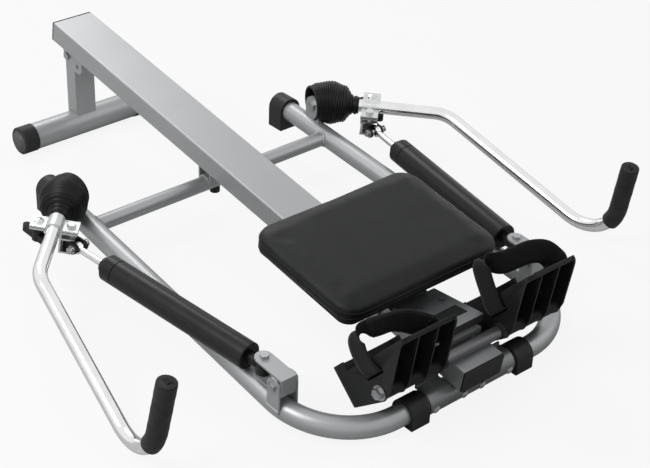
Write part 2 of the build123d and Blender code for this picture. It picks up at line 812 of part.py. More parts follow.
bracket_half = console_bracket_width * half
plate = console_bracket_plate
foot_y = axle_y + axle_tube_radius + part_gap
under_front = console_front_height - console_front_thickness
shelf_end = console_front_y + console_run * half
shelf_drop = (console_run * half) * (under_front - console_rear_height + console_rear_thickness) / console_run
shelf = side_slab(
    [(foot_y, under_front - plate), (console_front_y, under_front - plate), (shelf_end, under_front - shelf_drop - plate),
     (shelf_end, under_front - shelf_drop), (console_front_y, under_front), (foot_y, under_front)],
    -bracket_half,
    bracket_half,
)
riser = box(-bracket_half, bracket_half, foot_y, foot_y + plate, rail_top(foot_y) - plate, under_front)
bracket = shelf + riser
bracket += on_rail(box(-bracket_half, bracket_half, 0, rail_width, 0, plate)) & box(-rail_width, rail_width, foot_y, shelf_end, 0, rail_width * double)
riser_height = under_front - rail_top(foot_y)
hole_x = bracket_half * half
hole_z = under_front - riser_height * half
bracket -= rod((hole_x, foot_y - plate, hole_z), (hole_x, foot_y + plate * double, hole_z), riser_height * console_hole_share)
bracket = bracket - on_rail(box(-rail_width, rail_width, 0, rail_length, -rail_depth, 0)) - housing
keep("console_bracket", bracket)

# Arm joint: directions on the right side
joint = Vector(joint_x, joint_y, joint_height)
arm_bend = Vector(arm_bend_x, arm_bend_y, arm_bend_height)
arm_corner = Vector(arm_corner_x, arm_corner_y, arm_corner_height)
arm_top = Vector(arm_top_x, arm_top_y, arm_top_height)
arm_dir = unit(arm_bend - joint)
inboard = unit(arm_dir.cross(Vector(0, 0, 1)))
upright = inboard.cross(arm_dir)
lean = radians(swivel_lean)
swivel_axis = upright * cos(lean) + inboard * sin(lean)
outboard = swivel_axis.cross(arm_dir)
swivel_frame = frame(joint, arm_dir, swivel_axis)


def on_swivel(shape):
    """Move a shape from the swivel's frame: X along the arm, Y outboard, Z up its axis."""
    return swivel_frame * shape


def swivel_point(x, y, z):
    """Point given in the swivel's frame."""
    return joint + arm_dir * x + outboard * y + swivel_axis * z


# Bracket and stud that carry the joint on the leg
leg_here = leg_x(joint_y)
plate_x0 = leg_here - joint_plate * half
plate_x1 = leg_here + joint_plate * half
joint_bracket = rod((plate_x0, joint_y, joint_height), (plate_x1, joint_y, joint_height), joint_plate_half)
joint_bracket += box(plate_x0, plate_x1, joint_y - joint_plate_half, joint_y + joint_plate_half, tube_height(joint_y), joint_height)
joint_bracket = joint_bracket - base_solid
joint_bracket -= rod((0, joint_y, joint_height), (joint_x, joint_y, joint_height), stud_radius)
joint_bracket = joint_bracket.solids().sort_by(Axis.Z)[-1]
nodes["joint_brackets"] = Compound(children=both_sides(joint_bracket))
barrel_half = barrel_height * half
stud = rod((plate_x0 - bolt_head_height * half, joint_y, joint_height), (joint_x, joint_y, joint_height), stud_radius)
stud += hexagon_head((plate_x0, joint_y, joint_height), (-1, 0, 0), bolt_head_radius + weld_lap, bolt_head_height)
stud += on_swivel(Cylinder(barrel_radius, barrel_height))
stud -= on_swivel(Cylinder(swivel_pin_radius + skin_gap, barrel_height * double))
nodes["joint_studs"] = Compound(children=both_sides(stud))

# Swivel fork with its pin and the collar that guides the arm
cheek_low = barrel_half + skin_gap * double * double * double
cheek_high = cheek_low + fork_plate
fork = on_swivel(Cylinder(swivel_pin_radius, cheek_high * double))
for side in (-1, 1):
    level = side * (cheek_low + cheek_high) * half
    cheek = Pos(0, 0, level) * Cylinder(barrel_radius, fork_plate)
    cheek += Pos(fork_reach * half, 0, level) * Box(fork_reach, barrel_radius * double, fork_plate)
    fork += on_swivel(cheek)
web_x = fork_reach - fork_plate
fork += on_swivel(Pos(web_x + fork_plate * half, 0, 0) * Box(fork_plate, barrel_radius * double, cheek_high * double))
collar = ring(swivel_point(collar_start, 0, 0), swivel_point(collar_end, 0, 0), collar_radius, arm_radius + skin_gap)
fork += collar
keep_pair("swivel_fork", fork)

# Arm tube and grip
arm_a = joint + arm_dir * arm_start
arm_path = course([arm_a, arm_bend, arm_corner, arm_top], (bend_radius, corner_bend_radius))
arm_solid = swept(arm_path, arm_radius)
arm_end = unit(arm_top - arm_corner)
above_cap = Plane(origin=arm_top - arm_end * grip_cap, z_dir=arm_end) * Cylinder(grip_radius * double, grip_radius * double, align=MIN_Z)
arm_tube = arm_solid - swept(arm_path, arm_radius - arm_wall) - above_cap
keep_pair("arm_tube", arm_tube)
g_start, g_middle, g_end, g_centre, g_turn = bend(arm_bend, arm_corner, arm_top, corner_bend_radius)
spin_axis = (g_start - g_centre).cross(g_end - g_centre)


def on_bend(share_back):
    """Point on the lower bend, measured back from its upper end."""
    a = -g_turn * share_back
    r = g_end - g_centre
    k = unit(spin_axis)
    return g_centre + r * cos(a) + k.cross(r) * sin(a) + k * (k.dot(r) * (1 - cos(a)))


grip_path = Wire([
    Edge.make_three_point_arc(on_bend(grip_bend_share), on_bend(grip_bend_share * half), g_end),
    Edge.make_line(g_end, arm_top),
])
grip = swept(grip_path, grip_radius)
grip_top_edge = grip.edges().filter_by(GeomType.CIRCLE).sort_by(lambda e: (e.center() - arm_top).length)[0]
grip = fillet(grip_top_edge, grip_cap)
grip = grip - (arm_solid - above_cap)
keep_pair("arm_grip", grip)

# Ribbed rubber boot
boot_origin = Vector(plate_x1, joint_y, joint_height)
boot_base_dir = Vector(1, 0, 0)
boot_turn = radians(boot_base_dir.get_angle(arm_dir))
boot_bend_radius = (joint_x - plate_x1) / tan(boot_turn * half)
boot_arc = boot_bend_radius * boot_turn
boot_side_dir = unit(arm_dir - boot_base_dir * arm_dir.X)
boot_across = boot_base_dir.cross(boot_side_dir)
boot_length = boot_arc + boot_straight


def boot_place(s):
    """Frame across the boot at a distance along its middle line."""
    a = min(s, boot_arc) / boot_bend_radius
    point = boot_origin + (boot_base_dir * sin(a) + boot_side_dir * (1 - cos(a))) * boot_bend_radius
    ahead = boot_base_dir * cos(a) + boot_side_dir * sin(a)
    return frame(point + ahead * max(s - boot_arc, 0), boot_across, ahead)


def boot_size(share):
    """Radius of the boot's outline at a share of its ribbed length."""
    knots = ((0, boot_base_radius), (0.45, boot_radius), (0.78, boot_late_radius), (1, boot_neck_radius + boot_rib_depth))
    for (s0, r0), (s1, r1) in zip(knots, knots[1:]):
        if share <= s1:
            t = (share - s0) / (s1 - s0)
            smooth = t * t * (3 - t * 2)
            return r0 + (r1 - r0) * smooth
    return knots[-1][1]


ribbed = boot_length - boot_neck_length
sections = []
for i in range(boot_ribs * 2 + 1):
    share = i / (boot_ribs * 2)
    cut = boot_rib_depth if i % 2 else 0
    sections.append(boot_place(ribbed * share) * Circle(boot_size(share) - cut))
sections.append(boot_place(ribbed + part_gap) * Circle(boot_neck_radius))
sections.append(boot_place(boot_length) * Circle(boot_neck_radius))
boot = loft(sections, ruled=True)
inner = []
for share in (0, 0.3, 0.6, 0.85):
    inner.append(boot_place(ribbed * share - (part_gap if share == 0 else 0)) * Circle(boot_size(share) - boot_wall))
inner.append(boot_place(ribbed) * Circle(arm_radius + part_gap))
inner.append(boot_place(boot_length + part_gap) * Circle(arm_radius + part_gap))
boot = boot - loft(inner, ruled=True)
here = Vector(leg_x(joint_y - joint_height), joint_y - joint_height, tube_height(joint_y - joint_height))
there = Vector(leg_x(leg_end_y), leg_end_y, tube_height(leg_end_y))
boot = boot - rod(here, there, tube_radius)
boot = boot.solids().sort_by(SortBy.VOLUME)[-1]
keep_pair("boot", boot)

# Clamp on the arm, with the channel that holds the knuckle
mid = clamp_distance
hold = arm_radius + skin_gap
clamp_a = swivel_point(mid - clamp_width * half, 0, 0)
clamp_b = swivel_point(mid + clamp_width * half, 0, 0)


def clamp_box(y0, y1, z0, z1):
    """Plate across the arm, as long as the clamp is wide."""
    return on_swivel(box(mid - clamp_width * half, mid + clamp_width * half, y0, y1, z0, z1))


split = clamp_split * half
clamp = rod(clamp_a, clamp_b, clamp_saddle_radius)
clamp += clamp_box(-clamp_half, clamp_half, split, split + clamp_plate)
clamp += clamp_box(-clamp_half, clamp_half, -split - clamp_plate, -split)
clamp -= clamp_box(-clamp_half, -clamp_saddle_radius + weld_lap, -split, split)
clamp -= clamp_box(clamp_saddle_radius - weld_lap, clamp_half, -split, split)
block_middle = -block_top - block_height * half
block_low = -block_top - block_height
web_out = -clamp_bolt_offset + block_size * half + block_web_gap
channel_low = block_low - part_gap - clamp_plate
channel_front = -clamp_bolt_offset - clamp_head_radius - weld_lap
channel = clamp_box(web_out, web_out + clamp_plate, channel_low, -split)
channel += clamp_box(channel_front, web_out + clamp_plate, channel_low, channel_low + clamp_plate)
channel += clamp_box(channel_front, web_out + clamp_plate, -block_top + part_gap, -block_top + part_gap + clamp_plate)
clamp += channel
clamp -= rod(swivel_point(mid - clamp_width, 0, 0), swivel_point(mid + clamp_width, 0, 0), hold)
bolt_low = channel_low - clamp_head_height
inner_bolt = rod(swivel_point(mid, -clamp_bolt_offset, bolt_low), swivel_point(mid, -clamp_bolt_offset, split + clamp_plate), clamp_bolt_radius)
inner_bolt += hexagon_head(swivel_point(mid, -clamp_bolt_offset, split + clamp_plate), swivel_axis, clamp_head_radius, clamp_head_height)
inner_bolt += hexagon_head(swivel_point(mid, -clamp_bolt_offset, channel_low), -swivel_axis, clamp_head_radius, clamp_head_height)
outer_low = swivel_point(mid, clamp_bolt_offset, -knob_drop - knob_hub_height * half)
outer_bolt = rod(outer_low, swivel_point(mid, clamp_bolt_offset, split + clamp_plate), clamp_bolt_radius)
outer_bolt += lathe(
    swivel_point(mid, clamp_bolt_offset, split + clamp_plate),
    swivel_axis,
    ((0, 0), (clamp_head_radius + weld_lap, 0), (clamp_head_radius, clamp_head_height * half), (0, clamp_head_height)),
)
nut_level = -split - clamp_plate - clamp_head_height
outer_nut = hexagon_head(swivel_point(mid, clamp_bolt_offset, nut_level), swivel_axis, clamp_head_radius, clamp_head_height)
keep_pair("arm_clamp", clamp + inner_bolt + outer_bolt + outer_nut)

# Wing knob under the clamp's outer bolt
knob_top = -knob_drop + knob_hub_height * half
knob_top = min(knob_top, nut_level - part_gap)
knob_low = knob_top - knob_hub_height
knob = Pos(mid, clamp_bolt_offset, (knob_top + knob_low) * half) * Cylinder(knob_hub_radius, knob_hub_height)
wing_low = knob_low + part_gap
wing = Box(knob_reach * double, knob_bar_width, knob_bar_height)
wing = fillet(wing.edges().filter_by(Axis.Z), knob_bar_width * half - part_gap)
wing = Pos(mid, clamp_bolt_offset, wing_low + knob_bar_height * half) * Rot(0, 0, knob_turn) * wing
knob = knob + wing
knob -= Pos(mid, clamp_bolt_offset, 0) * Cylinder(clamp_bolt_radius + skin_gap, knob_drop * double + knob_hub_height)
keep_pair("clamp_knob", on_swivel(knob))

# Cylinder line from the clevis bolt to the knuckle
pitch = radians(clevis_pitch)
ear_centre = Vector(clevis_x, ear_bolt_y, ear_bolt_height)
clevis_dir = Vector(0, cos(pitch), sin(pitch))
clevis_up = Vector(0, -sin(pitch), cos(pitch))
yaw_centre = ear_centre + clevis_dir * clevis_length
block_centre = swivel_point(mid, -clamp_bolt_offset, block_middle)
line = block_centre - yaw_centre
line_dir = unit(line)
pin_centre = block_centre - line_dir * knuckle_lever
ahead = Vector(-line_dir.X, -line_dir.Y, -line_dir.Z)
ahead = unit(ahead - swivel_axis * ahead.dot(swivel_axis))
pin_dir = swivel_axis.cross(ahead)
knuckle_frame = frame(block_centre, ahead, swivel_axis)


def on_knuckle(shape):
    """Move a shape from the knuckle's frame: X towards the cylinder, Y along the pin."""
    return knuckle_frame * shape


lever = (pin_centre - block_centre).dot(ahead)
pin_level = (pin_centre - block_centre).dot(swivel_axis)
lug_outer = fork_gap * half + lug_plate
block = Cylinder(block_size * half, block_height)
block += Pos(block_size * half * half, 0, 0) * Box(block_size * half, block_size, block_height)
shoulder = lever - eye_radius - part_gap
for side in (-1, 1):
    y = side * (fork_gap * half + lug_plate * half)
    block += Pos((shoulder + lever) * half, y, pin_level * half) * Box(lever - shoulder + weld_lap, lug_plate, lug_radius * double)
    block += Pos(lever, y, pin_level) * Rot(90, 0, 0) * Cylinder(lug_radius, lug_plate)
block += Pos(shoulder * half + block_size * half * half, 0, 0) * Box(block_size * half * half, lug_outer * double, lug_radius * double)
eye_room = eye_radius + eye_play
block -= Pos(lever, 0, pin_level) * Rot(90, 0, 0) * Cylinder(eye_room, fork_gap)
block -= Cylinder(clamp_bolt_radius + skin_gap, block_height * double)
block -= Pos(lever, 0, pin_level) * Rot(90, 0, 0) * Cylinder(pin_radius, lug_outer * double * double)
keep_pair("knuckle_block", on_knuckle(block))
pin_half = lug_outer + pin_washer + pin_end
pin = Pos(lever, 0, pin_level) * Rot(90, 0, 0) * Cylinder(pin_radius, pin_half * double)
for side in (-1, 1):
    y = side * (lug_outer + pin_washer * half)
    pin += Pos(lever, y, pin_level) * Rot(90, 0, 0) * Cylinder(pin_washer_radius, pin_washer)
pin += Pos(lever, pin_half, pin_level) * Rot(90, 0, 0) * Cylinder(pin_radius + weld_lap, pin_washer)
cotter_y = -(lug_outer + pin_washer + pin_end * half)
pin += Pos(lever, cotter_y, pin_level + pin_radius) * Rot(90, 0, 0) * Torus(pin_radius, pin_washer * half)
keep_pair("knuckle_pin", on_knuckle(pin))

# Clevis strap that carries the cylinder's front lug, with its upright bolt
clevis_frame = frame(ear_centre, clevis_dir, clevis_up)
outer_level = clevis_inner + clevis_plate
strap = Pos(0, 0, 0) * box(-clevis_front, clevis_length, -clevis_half_width, clevis_half_width, -outer_level, outer_level)
nose = Pos(clevis_length, 0, 0) * Cylinder(clevis_half_width, outer_level * double)
strap += nose
inside = box(clevis_plate - clevis_front, clevis_length + clevis_half_width * double, -clevis_half_width, clevis_half_width, -clevis_inner, clevis_inner)
strap -= inside
barrel = Rot(90, 0, 0) * Cylinder(clevis_barrel_radius, clevis_half_width * double)
gusset = box(clevis_plate - clevis_front, 0, -clevis_half_width, clevis_half_width, -clevis_barrel_radius, clevis_barrel_radius)
strap += barrel + gusset
strap -= Rot(90, 0, 0) * Cylinder(ear_bolt_radius + skin_gap, clevis_half_width * double * double)
strap -= Pos(clevis_length, 0, 0) * Cylinder(clamp_bolt_radius, outer_level * double * double)
keep_pair("clevis", clevis_frame * strap)
upright_bolt = Pos(clevis_length, 0, 0) * Cylinder(clamp_bolt_radius, outer_level * double)
upright_bolt += clevis_frame.to_local_coords(hexagon_head(yaw_centre + clevis_up * outer_level, clevis_up, clamp_head_radius, clamp_head_height))
upright_bolt += clevis_frame.to_local_coords(hexagon_head(yaw_centre - clevis_up * outer_level, -clevis_up, clamp_head_radius, clamp_head_height))
keep_pair("clevis_bolt", clevis_frame * upright_bolt)

# Ears and their cross bolt on the base tube
ears_list = []
for side in (-1, 1):
    x0 = clevis_x + side * (clevis_half_width + part_gap)
    x1 = x0 + side * ear_plate
    low, high = min(x0, x1), max(x0, x1)
    plate_shape = rod((low, ear_bolt_y, ear_bolt_height), (high, ear_bolt_y, ear_bolt_height), ear_radius)
    plate_shape += box(low, high, ear_bolt_y - ear_radius, ear_bolt_y + ear_radius, tube_height(ear_bolt_y), ear_bolt_height)
    plate_shape = plate_shape - base_solid
    plate_shape -= rod((0, ear_bolt_y, ear_bolt_height), (leg_front_x * double, ear_bolt_y, ear_bolt_height), ear_bolt_radius)
    plate_shape = plate_shape.solids().sort_by(Axis.Z)[-1]
    ears_list += both_sides(plate_shape)
nodes["clevis_ears"] = Compound(children=ears_list)
reach = clevis_half_width + part_gap + ear_plate
bolt_a = Vector(clevis_x - reach, ear_bolt_y, ear_bolt_height)
bolt_b = Vector(clevis_x + reach, ear_bolt_y, ear_bolt_height)
ear_bolt = rod(bolt_a, bolt_b, ear_bolt_radius)
ear_bolt += hexagon_head(bolt_a, (-1, 0, 0), bolt_head_radius, bolt_head_height)
ear_bolt += hexagon_head(bolt_b, (1, 0, 0), bolt_head_radius, bolt_head_height)
nodes["ear_bolts"] = Compound(children=both_sides(ear_bolt))

# Cylinder, turned about its own line, with the small rest turn of the linkage
yaw_now = atan2(line_dir.X, line_dir.Y) + rest_yaw
pitch_now = atan2(line_dir.Z, sqrt(line_dir.X ** 2 + line_dir.Y ** 2)) + rest_pitch
axis_dir = Vector(sin(yaw_now) * cos(pitch_now), cos(yaw_now) * cos(pitch_now), sin(pitch_now))
line_length = (pin_centre - yaw_centre).length
cylinder_end = line_length - cylinder_end_gap
cap_start = cylinder_end - cylinder_nose_length - cylinder_cap_length
profile = (
    (0, cylinder_start),
    (cylinder_radius - weld_lap, cylinder_start),
    (cylinder_radius, cylinder_start + weld_lap),
    (cylinder_radius, cap_start - weld_lap),
    (cylinder_radius - weld_lap, cap_start - weld_lap),
    (cylinder_radius - weld_lap, cap_start),
    (cylinder_cap_radius, cap_start),
    (cylinder_cap_radius, cap_start + cylinder_cap_length - weld_lap),
    (cylinder_cap_radius - weld_lap, cap_start + cylinder_cap_length),
    (cylinder_nose_radius, cap_start + cylinder_cap_length),
    (cylinder_nose_radius - weld_lap, cylinder_end),
    (0, cylinder_end),
)
cylinder = lathe(yaw_centre, axis_dir, profile)
line_frame = Plane(origin=yaw_centre, x_dir=clevis_up.cross(axis_dir), z_dir=axis_dir)
link = rod(yaw_centre, yaw_centre + axis_dir * (cylinder_start + weld_lap), lug_barrel_radius - weld_lap)
cylinder += link
cylinder += rod(yaw_centre - clevis_up * lug_barrel_height * half, yaw_centre + clevis_up * lug_barrel_height * half, lug_barrel_radius)
cylinder -= rod(yaw_centre - clevis_up * lug_barrel_height, yaw_centre + clevis_up * lug_barrel_height, clamp_bolt_radius + skin_gap)
bore_end = cylinder_end - cylinder_cap_wall
cylinder -= rod(yaw_centre + axis_dir * cylinder_bore_start, yaw_centre + axis_dir * bore_end, cylinder_bore)
cylinder -= rod(yaw_centre + axis_dir * cylinder_bore_start, yaw_centre + axis_dir * (cylinder_end + weld_lap), rod_radius + skin_gap)
keep_pair("cylinder", cylinder)

# Piston rod with its eye
eye_distance = line_length - rest_slide
eye_centre = yaw_centre + axis_dir * eye_distance
piston_far = line_length - piston_back
piston_near = piston_far - piston_length
rod_end = eye_centre - axis_dir * eye_radius
piston_rod = rod(yaw_centre + axis_dir * piston_near, rod_end, rod_radius)
piston_rod += rod(yaw_centre + axis_dir * piston_near, yaw_centre + axis_dir * piston_far, cylinder_bore - skin_gap)
eye_dir = unit(pin_dir - axis_dir * pin_dir.dot(axis_dir))
eye_half = eye_dir * (eye_thickness * half)
piston_rod += rod(rod_end - axis_dir * weld_lap, eye_centre - axis_dir * (eye_radius - weld_lap), rod_radius - weld_lap * half)
piston_rod += rod(eye_centre - eye_half, eye_centre + eye_half, eye_radius)
piston_rod -= rod(eye_centre - eye_half * double, eye_centre + eye_half * double, pin_radius + eye_play)
keep_pair("piston_rod", piston_rod)

# The origin goes to the middle of the footprint, on the floor
whole = Compound(children=[copy.copy(shape) for shape in nodes.values()]).bounding_box()
to_origin = Vector(0, -(whole.min.Y + whole.max.Y) * half, 0)
for name, shape in nodes.items():
    placed = [solid.moved(Location(to_origin)) for solid in shape.solids()]
    whole_node = placed[0] if len(placed) == 1 else Compound(children=placed)
    export_step(whole_node, "parts/" + name + ".step")
print(len(nodes), "nodes, rear shift", round(to_origin.Y, 2))
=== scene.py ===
"""Looks for the home rowing machine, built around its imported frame."""

import json
import math

import bmesh
import bpy
from bpy.props import FloatProperty, FloatVectorProperty, IntProperty, PointerProperty
from mathutils import Matrix, Vector


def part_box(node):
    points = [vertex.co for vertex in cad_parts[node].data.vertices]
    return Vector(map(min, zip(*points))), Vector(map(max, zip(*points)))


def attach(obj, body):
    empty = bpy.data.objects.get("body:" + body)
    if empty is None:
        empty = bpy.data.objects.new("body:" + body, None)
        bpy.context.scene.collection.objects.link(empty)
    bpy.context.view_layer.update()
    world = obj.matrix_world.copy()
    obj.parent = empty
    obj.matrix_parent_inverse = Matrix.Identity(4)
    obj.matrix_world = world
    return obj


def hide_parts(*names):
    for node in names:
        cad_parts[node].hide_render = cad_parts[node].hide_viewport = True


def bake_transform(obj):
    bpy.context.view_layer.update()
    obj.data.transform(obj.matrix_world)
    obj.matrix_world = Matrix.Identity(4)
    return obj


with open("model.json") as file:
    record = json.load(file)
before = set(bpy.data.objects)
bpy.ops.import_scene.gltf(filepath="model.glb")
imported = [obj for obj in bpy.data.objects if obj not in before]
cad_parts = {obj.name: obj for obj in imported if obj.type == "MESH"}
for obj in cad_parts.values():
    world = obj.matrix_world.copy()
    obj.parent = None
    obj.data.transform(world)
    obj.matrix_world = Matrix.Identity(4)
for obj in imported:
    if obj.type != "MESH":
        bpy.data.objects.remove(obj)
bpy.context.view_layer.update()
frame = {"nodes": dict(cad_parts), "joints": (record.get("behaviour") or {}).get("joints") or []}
NODES = frame["nodes"]
JOINTS = {j["name"]: j for j in frame["joints"]}
SIDES = ("right", "left")

# The machine's own points, measured from the front bar, and where the frame puts them
JOINT = Vector((0.269, 0.634, 0.131))
PLACE = Vector(JOINTS["arm_swivel_right"]["pos_m"]) - JOINT
LEG_RADIUS = 0.017
LEG_FRONT = Vector((0.2604, 0.0, 0.0201))
LEG_REAR = Vector((0.244, 0.7215, 0.097))
LEG_DIR = (LEG_REAR - LEG_FRONT).normalized()
RAIL_START = Vector((0.0, -0.034, 0.0727))
SOLE_TOE = Vector((0.0, -0.039, 0.194))
SOLE_HEEL = Vector((0.0, 0.095, 0.047))
PEDAL_INNER = 0.066
PEDAL_OUTER = 0.176
ARM_BEND = Vector((0.4184, 0.4754, 0.1248))
ARM_CORNER = Vector((0.470, 0.130, 0.002))
ARM_TOP = Vector((0.4577, 0.0982, 0.1755))

bl_info = {
    "name": "Rowing machine looks",
    "version": (1, 0, 0),
    "blender": (4, 5, 0),
    "location": "View3D > Sidebar > Rower",
    "description": "Finishes, padding, straps and boots of a home rowing machine",
    "category": "Object",
}


# Shader maths: sockets that add nodes when they are used in an expression

def sums(operation, turned=False):
    """A Python operator that adds a Math node."""

    def run(self, other):
        pair = (other, self) if turned else (self, other)
        return self.paint.node("Math", {"operation": operation}, dict(enumerate(pair)))

    return run


class Value:
    """A shader socket that can be used in Python sums."""

    def __init__(self, paint, socket):
        self.paint = paint
        self.socket = socket

    __add__, __radd__ = sums("ADD"), sums("ADD", True)
    __sub__, __rsub__ = sums("SUBTRACT"), sums("SUBTRACT", True)
    __mul__, __rmul__ = sums("MULTIPLY"), sums("MULTIPLY", True)


class Paint:
    """The nodes of one material, or of the world."""

    def __init__(self, name, world=False):
        self.data = (bpy.data.worlds if world else bpy.data.materials).new(name)
        self.data.use_nodes = True
        self.tree = self.data.node_tree
        self.shader = self.tree.nodes["Background" if world else "Principled BSDF"]
        self.surface = self.tree.nodes["World Output" if world else "Material Output"].inputs["Surface"]
        self.glow = "Background" if world else "Emission"
        self.across = 0

    def node(self, kind, settings=None, values=None, out=0):
        """Add a node, set it, feed its sockets, and give back one output."""
        made = self.tree.nodes.new("ShaderNode" + kind)
        self.across += 40
        made.location = (-self.across, 0)
        for key, value in (settings or {}).items():
            setattr(made, key, value)
        for key, value in (values or {}).items():
            self.feed(made.inputs[key], value)
        return Value(self, made.outputs[out])

    def feed(self, socket, value):
        """Set a socket to a number, a colour or another node's output."""
        if isinstance(value, Value):
            self.tree.links.new(value.socket, socket)
        elif isinstance(value, (tuple, list)) and socket.type == "RGBA" and len(value) == 3:
            socket.default_value = (*value, 1)
        else:
            socket.default_value = value

    def place(self):
        """Object coordinates."""
        return self.node("TexCoord", out="Object")

    def noise(self, scale, detail=2.0, rough=0.5, vector=None):
        values = {"Vector": vector or self.place(), "Scale": scale, "Detail": detail, "Roughness": rough}
        return self.node("TexNoise", {}, values)

    def range(self, value, low, high, to_low=0.0, to_high=1.0):
        values = {"Value": value, "From Min": low, "From Max": high, "To Min": to_low, "To Max": to_high}
        return self.node("MapRange", {"clamp": True}, values)

    def patches(self, scale, detail, low, high):
        """Soft patches between two values."""
        return self.range(self.noise(scale, detail), 0.3, 0.7, low, high)

    def sine(self, value):
        return self.node("Math", {"operation": "SINE"}, {0: value})

    def mix(self, factor, one, two):
        """Mixed colour."""
        return self.node("Mix", {"data_type": "RGBA"}, {"Factor": factor, 6: one, 7: two}, out=2)

    def bump(self, height, strength, distance):
        return self.node("Bump", {}, {"Height": height, "Strength": strength, "Distance": distance})

    def set(self, **sockets):
        """Feed the shader's own sockets, and give back the material or world."""
        for key, value in sockets.items():
            self.feed(self.shader.inputs[key.replace("_", " ")], value)
        return self.data

    def whiten(self, rays, share):
        """Let rays of these kinds see a share of plain white in place of the surface."""
        seen = self.node("LightPath", out=rays[0])
        for kind in rays[1:]:
            seen = self.node("Math", {"operation": "MAXIMUM"}, {0: seen, 1: self.node("LightPath", out=kind)})
        lit = Value(self, self.shader.outputs[0])
        white = self.node(self.glow, {}, {"Color": (1, 1, 1), "Strength": 1.0})
        self.feed(self.surface, self.node("MixShader", {}, {0: seen * share, 1: lit, 2: white}))


def shade(colour, factor, lift=0.0):
    """A lighter or darker shade of a colour."""
    return tuple(min(1, c * factor + lift) for c in colour)


def silver_paint(name, colour):
    p = Paint(name)
    flake = p.noise(2600, 1)
    tint = p.mix(p.patches(9, 3, 0.0, 1.0), shade(colour, 0.96), shade(colour, 1.04))
    return p.set(
        Base_Color=p.mix(p.range(flake, 0.35, 0.65, 0.0, 0.5), tint, shade(colour, 1.12)),
        Metallic=0.5,
        Roughness=p.range(flake, 0.3, 0.7, 0.34, 0.44),
        Normal=p.bump(p.noise(420, 2), 0.08, 0.0004),
        Coat_Weight=0.25,
        Coat_Roughness=0.3,
    )


def bright_metal(name, colour, rough_low, rough_high, grain, bump=0.05):
    p = Paint(name)
    return p.set(
        Base_Color=p.mix(p.range(p.noise(grain, 4, 0.6), 0.35, 0.7), colour, shade(colour, 0.9)),
        Metallic=1.0,
        Roughness=p.patches(grain * 2.3, 3, rough_low, rough_high),
        Normal=p.bump(p.noise(grain * 6, 2), bump, 0.0003),
    )


def dark_plastic(name, colour, rough_low, rough_high, grain=900, bump=0.2, coat=0.0, shine=0.3):
    """Moulded plastic or rubber, lighter where its surface turns sharply: partly rubbed wear, partly a painted
    highlight on crests such as the boot's ribs.
    """
    p = Paint(name)
    clouded = p.mix(p.range(p.noise(22, 3), 0.35, 0.7), colour, shade(colour, 1.45, 0.004))
    # Lighter colour on sharp turns: partly rubbed wear, partly a painted highlight on crests such as the boot's
    # ribs
    edges = p.range(p.node("NewGeometry", out="Pointiness"), 0.505, 0.53, 0.0, 0.55)
    return p.set(
        Base_Color=p.mix(edges, clouded, shade(colour, 2.4, 0.012)),
        Roughness=p.patches(60, 3, rough_low, rough_high),
        Normal=p.bump(p.noise(grain, 2), bump, 0.0003),
        Coat_Weight=coat,
        Coat_Roughness=0.08,
        Specular_IOR_Level=shine,
    )


def moulded_case(name, side, face):
    """Console case: dark moulded sides, and a satin face on what looks up."""
    p = Paint(name)
    up = p.node("SeparateXYZ", {}, {0: p.node("NewGeometry", out="True Normal")}, out=2)
    mask = p.range(up, 0.97, 0.985)
    stretched = p.node("Mapping", {}, {"Vector": p.place(), "Scale": (8.0, 0.6, 1.0)})
    brushed = p.mix(p.noise(300, 2, vector=stretched), face, shade(face, 0.8))
    return p.set(
        Base_Color=p.mix(mask, side, brushed),
        Metallic=mask * 0.55,
        Roughness=0.46 - mask * 0.12,
        Normal=p.bump(p.noise(800, 2), 0.12, 0.0003),
        Specular_IOR_Level=0.35,
    )


def leather(name, colour):
    p = Paint(name)
    cell = p.node("TexVoronoi", {"feature": "DISTANCE_TO_EDGE"}, {"Vector": p.place(), "Scale": 620.0})
    height = p.range(cell, 0.0, 0.12) * 0.6 + p.noise(140, 4) * 0.6
    return p.set(
        Base_Color=p.mix(p.range(p.noise(7, 3), 0.35, 0.65), colour, shade(colour, 1.25)),
        Roughness=p.patches(30, 3, 0.40, 0.50),
        Normal=p.bump(height, 0.22, 0.0004),
        Sheen_Weight=0.02,
        Specular_IOR_Level=0.18,
    )


def webbing(name, colour, warp=0.0016, pick=0.0011):
    """Woven band: U runs across it and V along it, both in metres, as are the pitches of its threads."""
    p = Paint(name)
    uv = p.node("UVMap", {"uv_map": "weave"})
    u, v = [p.node("SeparateXYZ", {}, {0: uv}, out=k) for k in (0, 1)]
    across = p.sine(u * (math.tau / warp))
    along = p.sine(v * (math.tau / pick))
    rows = across * 0.5 + 0.5
    picks = (across * along) * 0.5 + 0.5
    height = rows * 0.6 + picks * 0.5
    # Painted shade: the colour is darker in the hollows between the threads, with noise on top for uneven tone
    thread_shade_and_tone = p.range(height + p.noise(700, 3) * 0.4, 0.2, 1.2)
    return p.set(
        Base_Color=p.mix(thread_shade_and_tone, shade(colour, 0.5), colour),
        Roughness=0.82,
        Normal=p.bump(height, 0.45, 0.0005),
        Sheen_Weight=0.08,
        Specular_IOR_Level=0.12,
    )


def foam(name, colour):
    p = Paint(name)
    cell = p.node("TexVoronoi", {"feature": "F1"}, {"Vector": p.place(), "Scale": 1500.0})
    return p.set(
        Base_Color=p.mix(p.range(p.noise(50, 4), 0.35, 0.65), colour, shade(colour, 1.35)),
        Roughness=p.patches(80, 2, 0.55, 0.68),
        Normal=p.bump(cell + p.noise(260, 3), 0.25, 0.0004),
        Sheen_Weight=0.03,
        Specular_IOR_Level=0.12,
    )


def display(name, colour):
    """Dark blank display behind a clear window."""
    p = Paint(name)
    return p.set(
        Base_Color=p.mix(p.patches(60, 2, 0.0, 1.0), colour, shade(colour, 0.8)),
        Roughness=0.08,
        Coat_Weight=0.8,
        Coat_Roughness=0.03,
    )


def assign(objects, material):
    for obj in objects:
        obj.data.materials.clear()
        obj.data.materials.append(material)


# Mesh helpers

